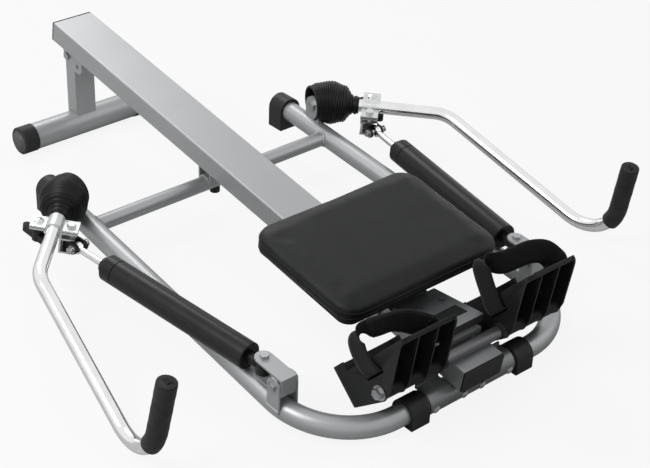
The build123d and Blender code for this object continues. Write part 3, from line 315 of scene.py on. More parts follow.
def new_object(name, verts, faces, material, smooth=True):
    mesh = bpy.data.meshes.new(name)
    mesh.from_pydata([tuple(v) for v in verts], [], faces)
    if smooth:
        mesh.polygons.foreach_set("use_smooth", [True] * len(mesh.polygons))
    mesh.materials.append(material)
    obj = bpy.data.objects.new(name, mesh)
    bpy.context.scene.collection.objects.link(obj)
    return obj


def tidy_normals(obj, merge=1e-6):
    """Merge points that lie this close, if any may, and turn every face outwards."""
    made = bmesh.new()
    made.from_mesh(obj.data)
    if merge:
        bmesh.ops.remove_doubles(made, verts=made.verts, dist=merge)
    bmesh.ops.recalc_face_normals(made, faces=made.faces)
    made.to_mesh(obj.data)
    made.free()


def skin_faces(rows, count):
    """Faces between rows of points that each close on themselves."""
    return [(i * count + j, i * count + (j + 1) % count, (i + 1) * count + (j + 1) % count, (i + 1) * count + j)
            for i in range(rows - 1) for j in range(count)]


def rings_object(name, rings, material, closed_ends):
    """Skin through rings of points, closed or open at its two ends."""
    count = len(rings[0])
    verts = [p for ring in rings for p in ring]
    faces = skin_faces(len(rings), count)
    for end, at in zip(closed_ends, (0, len(rings) - 1)):
        if end:
            order = [at * count + j for j in range(count)]
            faces.append(order if at else order[::-1])
    obj = new_object(name, verts, faces, material)
    tidy_normals(obj)
    return obj


def plain_copy(name, source):
    """A merged copy of a frame node's mesh."""
    obj = bpy.data.objects.new(name, source.data.copy())
    bpy.context.scene.collection.objects.link(obj)
    tidy_normals(obj, 1e-5)
    return obj


def settle_mesh(obj):
    """Apply every modifier and keep the result as the piece's own mesh."""
    graph = bpy.context.evaluated_depsgraph_get()
    made = bpy.data.meshes.new_from_object(obj.evaluated_get(graph))
    made.name = obj.name
    obj.modifiers.clear()
    obj.data = made
    return obj


def drop_attribute(mesh, name):
    if name in mesh.attributes:
        mesh.attributes.remove(mesh.attributes[name])


def mirror_x(points):
    return [Vector((-p.x, p.y, p.z)) for p in points]


def smooth_row(rows, steps):
    """Points on a smooth line through rows of numbers."""
    out = []
    for i in range(len(rows) - 1):
        quad = [rows[max(i - 1, 0)], rows[i], rows[i + 1], rows[min(i + 2, len(rows) - 1)]]
        for k in range(steps):
            t = k / steps
            weights = (
                (-t + 2 * t * t - t ** 3) / 2,
                (2 - 5 * t * t + 3 * t ** 3) / 2,
                (t + 4 * t * t - 3 * t ** 3) / 2,
                (t ** 3 - t * t) / 2,
            )
            out.append([sum(w * q[n] for w, q in zip(weights, quad)) for n in range(len(rows[0]))])
    out.append(list(rows[-1]))
    return out


def tube_rings(points, radii, sides):
    """Rings across a line of points, carried along it without twist."""
    rings = []
    across = None
    for i, (point, radius) in enumerate(zip(points, radii)):
        ahead = (points[min(i + 1, len(points) - 1)] - points[max(i - 1, 0)]).normalized()
        if across is None:
            across = ahead.orthogonal().normalized()
        across = (across - ahead * across.dot(ahead)).normalized()
        side = ahead.cross(across)
        rings.append([point + (across * math.cos(a) + side * math.sin(a)) * radius
                      for a in (math.tau * j / sides for j in range(sides))])
    return rings


def from_sole(x, along, out, side):
    """Point of a pedal: across from the middle plane, along its sole from the toe, and out of the sole."""
    run = (SOLE_HEEL - SOLE_TOE).normalized()
    normal = Vector((0, -run.z, run.y))
    point = PLACE + SOLE_TOE + run * along + normal * out + Vector((x, 0, 0))
    return Vector((-point.x, point.y, point.z)) if side == "left" else point


# Geometry Nodes: rows of small solids on a line, and a round bead along a line

def start_tree(name, inputs):
    """Node group with its named inputs, and its geometry output."""
    tree = bpy.data.node_groups.new(name, "GeometryNodeTree")
    tree.interface.new_socket(name="Geometry", in_out="INPUT", socket_type="NodeSocketGeometry")
    for label, kind in inputs:
        tree.interface.new_socket(name=label, in_out="INPUT", socket_type="NodeSocket" + kind)
    tree.interface.new_socket(name="Geometry", in_out="OUTPUT", socket_type="NodeSocketGeometry")
    return tree, tree.nodes.new("NodeGroupInput"), tree.nodes.new("NodeGroupOutput")


def add_node(tree, kind, links=(), **settings):
    """Add a node, set its properties, and join its sockets."""
    made = tree.nodes.new(kind if kind.startswith("Function") else "GeometryNode" + kind)
    made.location = (len(tree.nodes) * 60, 0)
    for key, value in settings.items():
        setattr(made, key, value)
    for key, value in dict(links).items():
        if isinstance(value, bpy.types.NodeSocket):
            tree.links.new(value, made.inputs[key])
        else:
            made.inputs[key].default_value = value
    return made


def finish_tree(tree, out, solid, material):
    real = add_node(tree, "RealizeInstances", {"Geometry": solid})
    soft = add_node(tree, "SetShadeSmooth", {"Geometry": real.outputs[0]})
    dressed = add_node(tree, "SetMaterial", {"Geometry": soft.outputs[0], "Material": material})
    tree.links.new(dressed.outputs[0], out.inputs[0])
    return tree


def row_tree(name, block):
    """Small solids set at an even pitch along a line, each turned to the line and to the face under it."""
    tree, start, out = start_tree(name, (("Pitch", "Float"), ("Size", "Vector"), ("Finish", "Material")))
    given = start.outputs
    line = add_node(tree, "MeshToCurve", {"Mesh": given["Geometry"]})
    points = add_node(
        tree, "ResampleCurve", {"Curve": line.outputs[0], "Length": given["Pitch"]}, mode="LENGTH"
    )
    ahead = add_node(tree, "InputTangent")
    face = add_node(tree, "InputNamedAttribute", {"Name": "face"}, data_type="FLOAT_VECTOR")
    align = "FunctionNodeAlignRotationToVector"
    turn = add_node(tree, align, {"Vector": ahead.outputs[0]}, axis="X")
    turn = add_node(tree, align, {"Rotation": turn.outputs[0], "Vector": face.outputs[0]}, axis="Z", pivot_axis="X")
    if block:
        solid = add_node(tree, "MeshCube", {"Size": (1, 1, 1)})
    else:
        solid = add_node(tree, "MeshUVSphere", {"Segments": 8, "Rings": 5, "Radius": 0.5})
    row = add_node(tree, "InstanceOnPoints", {
        "Points": points.outputs[0],
        "Instance": solid.outputs[0],
        "Rotation": turn.outputs[0],
        "Scale": given["Size"],
    })
    return finish_tree(tree, out, row.outputs[0], given["Finish"])


def bead_tree(name):
    """Round bead along a line."""
    tree, start, out = start_tree(name, (("Radius", "Float"), ("Finish", "Material")))
    line = add_node(tree, "MeshToCurve", {"Mesh": start.outputs["Geometry"]})
    ring = add_node(tree, "CurvePrimitiveCircle", {"Resolution": 10, "Radius": start.outputs["Radius"]})
    skin = add_node(tree, "CurveToMesh", {"Curve": line.outputs[0], "Profile Curve": ring.outputs[0]})
    return finish_tree(tree, out, skin.outputs[0], start.outputs["Finish"])


def run_tree(name, paths, tree, values):
    """Lines given as lists of (point, face) pairs, turned by a tree into one plain mesh."""
    verts, edges, faces = [], [], []
    for path, closed in paths:
        first = len(verts)
        verts += [tuple(p) for p, f in path]
        faces += [tuple(f) for p, f in path]
        edges += [(first + i, first + i + 1) for i in range(len(path) - 1)]
        if closed:
            edges.append((first + len(path) - 1, first))
    mesh = bpy.data.meshes.new(name)
    mesh.from_pydata(verts, edges, [])
    attribute = mesh.attributes.new("face", "FLOAT_VECTOR", "POINT")
    for slot, value in zip(attribute.data, faces):
        slot.vector = value
    obj = bpy.data.objects.new(name, mesh)
    bpy.context.scene.collection.objects.link(obj)
    made = obj.modifiers.new("row", "NODES")
    made.node_group = tree
    for item in tree.interface.items_tree:
        if item.in_out == "INPUT" and item.name in values:
            made[item.identifier] = values[item.name]
    settle_mesh(obj)
    drop_attribute(obj.data, "face")
    return obj


def joint_point(name):
    return Vector(JOINTS[name]["pos_m"])


def joint_axis(name):
    return Vector(JOINTS[name]["axis"]).normalized()


# Sizes and colours a user would change

def tint(name, description, default):
    return FloatVectorProperty(name=name, description=description, subtype="COLOR", size=3, default=default)


def length(name, description, default):
    return FloatProperty(name=name, description=description, unit="LENGTH", default=default)


class ROWER_PG_finish(bpy.types.PropertyGroup):
    paint: tint("Paint", "Silver paint of the frame", (0.36, 0.37, 0.375))
    chrome: tint("Chrome", "Chromed arms and rods", (0.82, 0.82, 0.83))
    zinc: tint("Zinc", "Plated clamps and forks", (0.62, 0.63, 0.63))
    plastic: tint("Black plastic", "Pedals, feet and caps", (0.0085, 0.0088, 0.0088))
    vinyl: tint("Vinyl", "Seat cover", (0.0085, 0.0092, 0.009))
    foam: tint("Foam", "Hand grips", (0.025, 0.025, 0.0255))
    band: tint("Webbing", "Foot straps", (0.017, 0.017, 0.0172))


class ROWER_PG_seat(bpy.types.PropertyGroup):
    voxel: length("Voxel", "Mesh size of the padding", 0.005)
    pressure: FloatProperty(name="Pressure", description="How tightly the foam fills the cover", default=2.0)
    limit: length("Swell", "Most that the cover may swell", 0.002)
    steps: IntProperty(name="Steps", description="Frames the padding takes to settle", default=14)


class ROWER_PG_boot(bpy.types.PropertyGroup):
    ribs: IntProperty(name="Ribs", description="Folds of each rubber boot", default=17)
    depth: length("Fold depth", "Depth of one fold", 0.0018)
    lean: FloatProperty(
        name="Lean", description="How far the boot's base leans to the front", subtype="ANGLE", default=0.384
    )
    sides: IntProperty(name="Sides", description="Points round the boot", default=80)


class ROWER_PG_strap(bpy.types.PropertyGroup):
    width: length("Width", "Width of the webbing", 0.038)
    thickness: length("Thickness", "Thickness of the webbing", 0.0022)
    stitch: length("Stitch", "Pitch of the sewing on the webbing", 0.0032)


class ROWER_PG_grip(bpy.types.PropertyGroup):
    radius: length("Radius", "Radius of the foam grips", 0.015)
    tube: length("Tube", "Radius of the arm inside the foam", 0.011)
    rounding: length("Rounding", "Rounding of the foam's ends", 0.004)
    bend: length("Bend", "Bend radius of the arm at the grip", 0.075)
    share: FloatProperty(name="Share", description="Share of the bend that the foam covers", default=0.28)


class ROWER_PG_trim(bpy.types.PropertyGroup):
    weld: length("Weld", "Width of the weld beads", 0.0042)
    welt: length("Welt", "Radius of the seat's sewn welt", 0.0011)
    bar: length("Tread bar", "Width of a tread bar on the pedals", 0.003)
    toe: length("Toe", "Rounding of the pedals' toe corners", 0.02)
    pitch: length("Tread pitch", "Distance between tread bars", 0.009)


MATERIALS = {}

# Nodes that carry each finish; a name that ends in _ stands on both sides
FINISHES = {
    "paint": "u_frame_tube main_rail crossbar support_bracket leg_bracket rear_post stabiliser_tube "
             "clevis_ears joint_brackets seat_carriage clevis_",
    "saddle": "front_saddle console_bracket",
    "axle": "pedal_axle",
    "plastic": "rail_front_cap rail_rear_cap support_cap_nut seat_base rollers_front rollers_rear "
               "pedal_ clamp_knob_ knuckle_block_",
    "panel": "console_housing console_button",
    "foot_plastic": "front_feet rear_feet stabiliser_caps",
    "rivet": "saddle_rivets",
    "steel": "leg_bolt axle_nuts joint_studs ear_bolts knuckle_pin_ clevis_bolt_",
    "display": "console_lens",
    "chrome": "arm_tube_ piston_rod_",
    "zinc": "arm_clamp_ swivel_fork_",
    "gloss_black": "cylinder_",
    "webbing": "strap_",
    "rubber": "boot_",
    "foam": "arm_grip_",
    "vinyl": "seat_cushion",
}


class ROWER_OT_finishes(bpy.types.Operator):
    """Give every carried-over node its finish"""

    bl_idname = "rower.finishes"
    bl_label = "Finishes"

    def execute(self, context):
        tones = context.scene.rower_finish
        m = MATERIALS
        m["paint"] = silver_paint("silver_paint", tones.paint[:])
        m["chrome"] = bright_metal("chrome_plate", tones.chrome[:], 0.10, 0.2, 35, 0.012)
        m["zinc"] = bright_metal("zinc_plate", tones.zinc[:], 0.24, 0.38, 160, 0.06)
        m["steel"] = bright_metal("bolt_steel", (0.42, 0.42, 0.43), 0.25, 0.4, 240)
        m["rivet"] = bright_metal("rivet_steel", (0.62, 0.62, 0.62), 0.3, 0.42, 240)
        m["axle"] = bright_metal("axle_steel", (0.13, 0.13, 0.135), 0.4, 0.5, 240)
        m["gloss_black"] = dark_plastic(
            "gloss_black", (0.0055, 0.0055, 0.006), 0.26, 0.34, 200, 0.02, coat=0.05, shine=0.16
        )
        m["plastic"] = dark_plastic("black_plastic", tones.plastic[:], 0.42, 0.55, shine=0.14)
        m["foot_plastic"] = dark_plastic("foot_plastic", (0.012, 0.012, 0.0125), 0.34, 0.46, shine=0.16)
        m["panel"] = moulded_case("console_case", (0.014, 0.0145, 0.015), (0.21, 0.22, 0.23))
        m["disc"] = dark_plastic("cap_disc", (0.05, 0.05, 0.052), 0.4, 0.5)
        m["rubber"] = dark_plastic("boot_rubber", (0.003, 0.003, 0.0032), 0.28, 0.38, 300, 0.04, shine=0.16)
        m["saddle"] = silver_paint("saddle_paint", shade(tones.paint, 0.5))
        m["thread"] = dark_plastic("thread", (0.03, 0.03, 0.031), 0.6, 0.7)
        m["foam"] = foam("grip_foam", tones.foam[:])
        m["vinyl"] = leather("seat_vinyl", tones.vinyl[:])
        m["webbing"] = webbing("strap_webbing", tones.band[:])
        m["display"] = display("display", (0.03, 0.034, 0.033))
        for key, names in FINISHES.items():
            for name in names.split():
                sided = [name + side for side in SIDES] if name.endswith("_") else [name]
                assign([NODES[n] for n in sided], m[key])
        return {"FINISHED"}


class ROWER_OT_cushion(bpy.types.Operator):
    """Pad the seat: a crowned closed form with its cover pulled tight"""

    bl_idname = "rower.cushion"
    bl_label = "Seat cushion"

    start_scale = 0.993
    stiffness = 60
    smooth_rounds = 6

    def execute(self, context):
        size = context.scene.rower_seat
        cushion = plain_copy("seat_pad", NODES["seat_cushion"])
        remesh = cushion.modifiers.new("voxel", "REMESH")
        remesh.mode = "VOXEL"
        remesh.voxel_size = size.voxel
        settle_mesh(cushion)
        start = [v.co.copy() for v in cushion.data.vertices]
        centre = sum(start, Vector()) / len(start)
        for v in cushion.data.vertices:
            v.co = centre + (v.co - centre) * self.start_scale
        cloth = cushion.modifiers.new("cloth", "CLOTH")
        cloth.settings.use_pressure = True
        cloth.settings.uniform_pressure_force = size.pressure
        cloth.settings.effector_weights.gravity = 0
        cloth.settings.tension_stiffness = self.stiffness
        cloth.settings.compression_stiffness = self.stiffness
        cloth.point_cache.frame_end = size.steps
        for step in range(1, size.steps + 1):
            context.scene.frame_set(step)
        settle_mesh(cushion)
        context.scene.frame_set(1)
        for v, first in zip(cushion.data.vertices, start):
            move = v.co - first
            if move.length > size.limit:
                v.co = first + move.normalized() * size.limit
        smooth = cushion.modifiers.new("smooth", "SMOOTH")
        smooth.iterations = self.smooth_rounds
        smooth.factor = 0.5
        settle_mesh(cushion)
        divide = cushion.modifiers.new("divide", "SUBSURF")
        divide.levels = divide.render_levels = 1
        settle_mesh(cushion)
        cushion.data.polygons.foreach_set("use_smooth", [True] * len(cushion.data.polygons))
        assign([cushion], MATERIALS["vinyl"])
        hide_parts("seat_cushion")
        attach(cushion, "seat")
        return {"FINISHED"}


# The boot: its radius along its ribbed part by share, then the radius along its lip, collar and mouth,
# each from the start of the base, the end of the ribs and the end of the boot
BOOT_RADII = ((0, 0.0320), (0.12, 0.0352), (0.45, 0.0388), (0.78, 0.0328), (1, 0.0172))
BOOT_LIP = ((0.004, 0.0270), (-0.0045, 0.0272), (-0.0051, 0.0283), (-0.0045, 0.0306), (-0.0029, 0.0318))
BOOT_COLLAR = (
    (0.0004, 0.0150), (0.0016, 0.0147), (0.0026, 0.0160), (0.0036, 0.0165), (0.0062, 0.0165), (0.0072, 0.0160)
)
BOOT_MOUTH = ((-0.0032, 0.0149), (-0.0006, 0.0148), (0, 0.0142), (0, 0.0114), (-0.006, 0.0114))
BOOT_INSET = 0.0015
BOOT_STRAIGHT = 0.0446
BOOT_NECK = 0.011
BOOT_LEG_GAP = 0.0006
RINGS_PER_RIB = 12
RIB_POWER = 0.55


def boot_radius(share):
    """Radius over the ribs at a share of the ribbed length."""
    for (s0, r0), (s1, r1) in zip(BOOT_RADII, BOOT_RADII[1:]):
        if share <= s1:
            t = (share - s0) / (s1 - s0)
            return r0 + (r1 - r0) * t * t * (3 - 2 * t)
    return BOOT_RADII[-1][1]


def clear_of_leg(point):
    """Rubber that would meet the leg rests on its surface."""
    leg_a = PLACE + LEG_FRONT
    foot = leg_a + LEG_DIR * (point - leg_a).dot(LEG_DIR)
    away = point - foot
    room = LEG_RADIUS + BOOT_LEG_GAP
    return foot + away.normalized() * room if away.length < room else point


def boot_rings(side, ribs, depth, sides, lean):
    """Rings along the boot's bent middle line, from its base to its neck."""
    pivot = joint_point("arm_swivel_right")
    ahead = -joint_axis("arm_roll_right")
    reach = pivot.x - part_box("boot_right")[0].x - BOOT_INSET
    start_dir = Vector((math.cos(lean), -math.sin(lean), 0))
    turn = start_dir.angle(ahead)
    radius = reach / math.tan(turn / 2)
    origin = pivot - start_dir * reach
    side_dir = (ahead - start_dir * ahead.dot(start_dir)).normalized()
    up = start_dir.cross(side_dir)
    arc = radius * turn
    total = arc + BOOT_STRAIGHT
    ribbed = total - BOOT_NECK

    def ring(s, r):
        a = min(s, arc) / radius
        point = origin + (start_dir * math.sin(a) + side_dir * (1 - math.cos(a))) * radius
        out = start_dir * math.cos(a) + side_dir * math.sin(a)
        point += out * max(s - arc, 0)
        right = out.cross(up)
        angles = [math.tau * j / sides for j in range(sides)]
        return [clear_of_leg(point + (up * math.cos(t) + right * math.sin(t)) * r) for t in angles]

    rings = [ring(s, r) for s, r in BOOT_LIP]
    steps = ribs * RINGS_PER_RIB
    for i in range(steps + 1):
        share = i / steps
        crest = abs(math.sin(math.pi * ribs * share)) ** RIB_POWER
        rings.append(ring(ribbed * share, boot_radius(share) - depth * (1 - crest)))
    rings += [ring(ribbed + s, r) for s, r in BOOT_COLLAR]
    rings += [ring(total + s, r) for s, r in BOOT_MOUTH]
    return [mirror_x(r) for r in rings] if side == "left" else rings


class ROWER_OT_boots(bpy.types.Operator):
    """Folded rubber boots over the arm joints"""

    bl_idname = "rower.boots"
    bl_label = "Rubber boots"

    def execute(self, context):
        size = context.scene.rower_boot
        for side in SIDES:
            rings = boot_rings(side, size.ribs, size.depth, size.sides, size.lean)
            boot = rings_object("rubber_boot_" + side, rings, MATERIALS["rubber"], (False, False))
            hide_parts("boot_" + side)
            ahead = -joint_axis("arm_roll_" + side)
            if side == "left":
                ahead = Vector((-abs(ahead.x), -abs(ahead.y), ahead.z))
            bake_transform(boot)
        return {"FINISHED"}


SHARP_ANGLE = math.radians(32)
TOE_STEPS = 8


def round_toe(piece, side, radius):
    """Draw the two square corners at a pedal's toe onto arcs, with the walls behind them."""
    origin = from_sole(0, 0, 0, side)
    along = (from_sole(0, 1, 0, side) - origin).normalized()
    across = Vector((1, 0, 0))
    made = bmesh.new()
    made.from_mesh(piece.data)
    for k in range(1, TOE_STEPS + 1):
        step = radius * k / TOE_STEPS
        planes = [(from_sole(x, 0, 0, side), across) for x in (PEDAL_INNER + step, PEDAL_OUTER - step)]
        planes.append((from_sole(0, step, 0, side), along))
        for point, normal in planes:
            geom = made.verts[:] + made.edges[:] + made.faces[:]
            bmesh.ops.bisect_plane(made, geom=geom, dist=1e-6, plane_co=point, plane_no=normal)
    way = -1 if side == "left" else 1
    corner = radius * 1.02
    for v in made.verts:
        x = abs(v.co.x)
        outside = x > (PEDAL_INNER + PEDAL_OUTER) / 2
        u = x - (PEDAL_OUTER - radius) if outside else PEDAL_INNER + radius - x
        w = radius - (v.co - origin).dot(along)
        if 0 < u < corner and 0 < w < corner:
            share = max(u, w) / math.hypot(u, w)
            v.co += Vector((way * (u * share - u) * (1 if outside else -1), 0, 0)) - along * (w * share - w)
    bmesh.ops.triangulate(made, faces=made.faces)
    mesh = bpy.data.meshes.new(piece.name)
    made.to_mesh(mesh)
    made.free()
    drop_attribute(mesh, "custom_normal")
    mesh.polygons.foreach_set("use_smooth", [True] * len(mesh.polygons))
    mesh.set_sharp_from_angle(angle=SHARP_ANGLE)
    piece.data = mesh


class ROWER_OT_pedals(bpy.types.Operator):
    """Moulded pedals with rounded toes"""

    bl_idname = "rower.pedals"
    bl_label = "Pedals"

    def execute(self, context):
        size = context.scene.rower_trim
        for side in SIDES:
            pedal = plain_copy("moulded_pedal_" + side, NODES["pedal_" + side])
            round_toe(pedal, side, size.toe)
            assign([pedal], MATERIALS["plastic"])
            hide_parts("pedal_" + side)
            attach(pedal, "foot_pedal_" + side)
        return {"FINISHED"}


# Webbing by side: place across the machine, along the sole and out of it, in mm, and the way of its width,
# along the sole and out of it
STRAP_LINES = {
    "right": (
        (74, 93, -22, 1, 0), (66, 93, -22, 1, 0), (62.5, 92, -14, 0.99, 0.12), (60.5, 84, 8, 0.96, 0.28),
        (59, 76, 30, 0.94, 0.34), (59.5, 69, 46, 0.97, 0.24), (65, 63, 52, 0.98, -0.15),
        (76, 60, 44, 0.82, -0.57), (90, 57, 37, 0.65, -0.76), (110, 50, 35, 0.63, -0.77),
        (130, 42, 33, 0.63, -0.77), (150, 39, 25, 0.68, -0.73), (166, 46, 12, 0.88, -0.48),
        (177.5, 58, 4, 0.97, -0.2), (180.5, 76, -8, 1, 0), (179.5, 90, -18, 1, 0), (175, 93, -22, 1, 0),
        (166, 93, -22, 1, 0),
    ),
    "left": (
        (168, 93, -22, 1, 0), (176, 93, -22, 1, 0), (180, 94, -14, 1, 0), (181, 96, 0, 0.99, 0.12),
        (181, 94, 18, 0.97, 0.22), (179, 89, 31, 0.99, 0.1), (173, 81, 37, 0.96, -0.28),
        (164, 72, 37, 0.86, -0.5), (150, 65, 34, 0.83, -0.55), (130, 60, 31, 0.84, -0.54),
        (112, 62, 25, 0.8, -0.6), (97, 65, 17, 0.78, -0.62), (82, 69, 10, 0.88, -0.46),
        (70, 77, 5, 0.99, -0.12), (63, 85, -4, 1, 0), (62.5, 92, -15, 1, 0), (66, 93, -22, 1, 0),
        (74, 93, -22, 1, 0),
    ),
}
STRAP_LAPS = {"right": (7.2, 12.6), "left": (7.0, 12.2)}
STRAP_STEPS = 8
STRAP_CROWN = 0.0006
SELVEDGES = (-0.97, -0.6, -0.2, 0.2, 0.6, 0.97)

# The lapped layer: its share of the band's width, and its lift off the band. The sewing: lift, size of a
# stitch, the two rows along the webbing, and the steps and places of the rows across it
LAP_SHARE = 0.98
LAP_LIFT = 0.0002
SEWING_LIFT = 0.0004
STITCH_SIZE = (0.0006, 0.0005)
SEWN_ALONG = (-0.84, 0.84)
SEWN_ACROSS = ((2, 9), (-0.8, -0.4, 0, 0.4, 0.8))


def strap_frames(side):
    """Middle, width direction and outward face at steps along the webbing, in metres."""
    rows = smooth_row(STRAP_LINES[side], STRAP_STEPS)
    origin = from_sole(0, 0, 0, side)
    middles = [from_sole(r[0] / 1000, r[1] / 1000, r[2] / 1000, side) for r in rows]
    widths = [(from_sole(0, r[3], r[4], side) - origin).normalized() for r in rows]
    frames = []
    for i, (point, wide) in enumerate(zip(middles, widths)):
        ahead = (middles[min(i + 1, len(rows) - 1)] - middles[max(i - 1, 0)]).normalized()
        wide = (wide - ahead * wide.dot(ahead)).normalized()
        face = ahead.cross(wide)
        if side == "left":
            face = -face
        frames.append((point, wide, face))
    return frames


def band(name, frames, width, thickness, lift=0.0):
    """Flat woven band with rounded selvedges, its weave laid out in metres."""
    outline = [(-1, 0), *((share, 1) for share in SELVEDGES)]
    outline += [(1, 0), *((share, -1) for share in reversed(SELVEDGES))]
    verts, uvs = [], []
    run = 0.0
    for i, (point, wide, face) in enumerate(frames):
        if i:
            run += (point - frames[i - 1][0]).length
        for share, level in outline:
            rise = lift + level * thickness / 2 + STRAP_CROWN * (1 - share * share)
            verts.append(point + wide * (share * width / 2) + face * rise)
            uvs.append((share * width / 2, run))
    count = len(outline)
    faces = skin_faces(len(frames), count)
    last = (len(frames) - 1) * count
    faces.append(tuple(range(count))[::-1])
    faces.append(tuple(last + j for j in range(count)))
    obj = new_object(name, verts, faces, MATERIALS["webbing"])
    layer = obj.data.uv_layers.new(name="weave")
    for loop in obj.data.loops:
        layer.data[loop.index].uv = uvs[loop.vertex_index]
    tidy_normals(obj, 0)
    return obj


class ROWER_OT_straps(bpy.types.Operator):
    """Woven foot straps: a band from wall to wall, a lapped layer on it, and its sewing"""

    bl_idname = "rower.straps"
    bl_label = "Foot straps"

    def execute(self, context):
        size = context.scene.rower_strap
        sewing = row_tree("sewing_row", False)
        for side in SIDES:
            body = "foot_pedal_" + side
            frames = strap_frames(side)
            strap = band("strap_band_" + side, frames, size.width, size.thickness)
            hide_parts("strap_" + side)
            first, last = (round(v * STRAP_STEPS) for v in STRAP_LAPS[side])
            lap = band("strap_lap_" + side, frames[first:last + 1], size.width * LAP_SHARE, size.thickness,
                       lift=size.thickness + LAP_LIFT)
            top = size.thickness * 1.5 + SEWING_LIFT

            def stitch(at, share):
                """Place and face of a stitch on the lapped layer."""
                point, wide, face = frames[at]
                rise = top + STRAP_CROWN * (1 - share * share)
                return point + wide * (share * size.width / 2) + face * rise, face

            steps, shares = SEWN_ACROSS
            rows = [([stitch(at, share) for at in range(first + 1, last)], False) for share in SEWN_ALONG]
            rows += [([stitch(first + step, share) for share in shares], False) for step in steps]
            thread = (size.stitch * 0.72, *STITCH_SIZE)
            sewn = run_tree("strap_sewing_" + side, rows, sewing,
                            {"Pitch": size.stitch, "Size": thread, "Finish": MATERIALS["thread"]})
            for piece in (strap, lap, sewn):
                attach(piece, body)
        return {"FINISHED"}


def bend_points(a, corner, b, radius, count):
    """Arc that rounds a corner, from the first straight to the second."""
    u, w = (a - corner).normalized(), (b - corner).normalized()
    turn = math.pi - u.angle(w)
    centre = corner + (u + w).normalized() * (radius / math.cos(turn / 2))
    start = corner + u * (radius * math.tan(turn / 2)) - centre
    axis = start.cross(corner + w * (radius * math.tan(turn / 2)) - centre).normalized()
    return [centre + Matrix.Rotation(turn * i / count, 3, axis) @ start for i in range(count + 1)]


class ROWER_OT_grips(bpy.types.Operator):
    """Foam grips on the arms' ends"""

    bl_idname = "rower.grips"
    bl_label = "Foam grips"

    arc_steps = 60
    line_steps = 70
    sides = 48
    mouth_rounding = 0.0025
    waves = ((0.00012, 190, 0), (0.00008, 430, 1))
    hole = ((0.0, 0.0062), (0.0008, 0.0056), (0.0009, 0.0004))

    def middle_line(self, size):
        """The arm's bend and its straight end, as far as the foam covers them."""
        arc = bend_points(ARM_BEND, ARM_CORNER, ARM_TOP, size.bend, self.arc_steps)
        arc = arc[round(self.arc_steps * (1 - size.share)):]
        return arc[:-1] + [arc[-1].lerp(ARM_TOP, i / self.line_steps) for i in range(self.line_steps + 1)]

    def grip_rings(self, size):
        """Rings of the right grip, with a slight unevenness and a small hole in its end."""
        line = self.middle_line(size)
        total = sum((b - a).length for a, b in zip(line, line[1:]))
        points, radii = [], []
        gone = 0.0
        for i, point in enumerate(line):
            if i:
                gone += (point - line[i - 1]).length
            radius = size.radius
            for depth, rate, phase in self.waves:
                radius += depth * math.sin(gone * rate + phase)
            for edge, rounding in ((gone, self.mouth_rounding), (total - gone, size.rounding)):
                if edge < rounding:
                    radius -= rounding - math.sqrt(max(rounding ** 2 - (rounding - edge) ** 2, 0))
            points.append(PLACE + point)
            radii.append(radius)
        ahead = (points[-1] - points[-2]).normalized()
        points = [points[0] + (points[1] - points[0]) * 0.3, points[0]] + points
        radii = [size.tube, size.tube + 0.0004] + radii
        for share in (0.35, 0.7, 0.9):
            at = len(points) - 1
            points.insert(at, points[-1] - ahead * size.rounding * (1 - share) * 0.5)
            radii.insert(at, size.radius - size.rounding + size.rounding * math.sqrt(1 - share ** 2) * 0.98)
        end = points[-1]
        points += [end - ahead * depth for depth, radius in self.hole]
        radii += [radius for depth, radius in self.hole]
        return tube_rings(points, radii, self.sides)

    def execute(self, context):
        size = context.scene.rower_grip
        for side in SIDES:
            rings = self.grip_rings(size)
            if side == "left":
                rings = [mirror_x(r) for r in rings]
            grip = rings_object("foam_grip_" + side, rings, MATERIALS["foam"], (False, True))
            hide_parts("arm_grip_" + side)
            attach(grip, "arm_" + side)
        return {"FINISHED"}


# Welds on the legs: lift of a bead off the crossbar, off a leg and off a plate, how far it keeps from the
# plate's edges, and the distance between the outer faces of a pair of ears
WELD_LIFT = 0.0005
WELD_STEPS = 48
LEG_LIFT = 0.0004
PLATE_LIFT = 0.0006
PLATE_EDGE = 0.001
EAR_STEP = 0.0324

# The seat's welt: its middle along the rail and above it, half sizes and corner of its outline, its step,
# and its lift off the cover
WELT_ALONG = 0.2413
WELT_HEIGHT = 0.0565
WELT_HALF = (0.158, 0.1125)
WELT_CORNER = 0.034
WELT_STEP = 0.006
WELT_LIFT = 0.0002

# Tread bars: places across the pedal, first and last place along the sole, lift, and size across and in height
TREAD_ROWS = (0.085, 0.109, 0.133, 0.157)
TREAD_SPANS = ((0.018, 0.066), (0.122, 0.178))
TREAD_LIFT = 0.0003
TREAD_SIZE = (0.018, 0.0016)

# Disc in a stabiliser cap: place from the cap's end and radius
CAP_DISC = (
    (-0.002, 0.0192), (0.0002, 0.0192), (0.0007, 0.0186), (0.0007, 0.0165), (-0.0004, 0.0158), (-0.0004, 0.0005)
)


def leg_point(y):
    """Middle of the right leg's tube at a place along the machine."""
    return PLACE + LEG_FRONT + LEG_DIR * ((y - PLACE.y) / LEG_DIR.y)


def bar_weld(sign, middle, bar):
    """Closed bead round the crossbar where it meets a leg."""
    leg_x = leg_point(middle.y).x
    around = bar + WELD_LIFT
    ring = []
    for j in range(WELD_STEPS):
        angle = math.tau * j / WELD_STEPS
        c, s = math.cos(angle), math.sin(angle)
        x = leg_x - math.sqrt(LEG_RADIUS ** 2 - (bar * s) ** 2) - WELD_LIFT
        point = Vector((sign * x, middle.y + around * c, middle.z + around * s))
        ring.append((point, Vector((sign * -0.7, c * 0.7, s * 0.7))))
    return ring


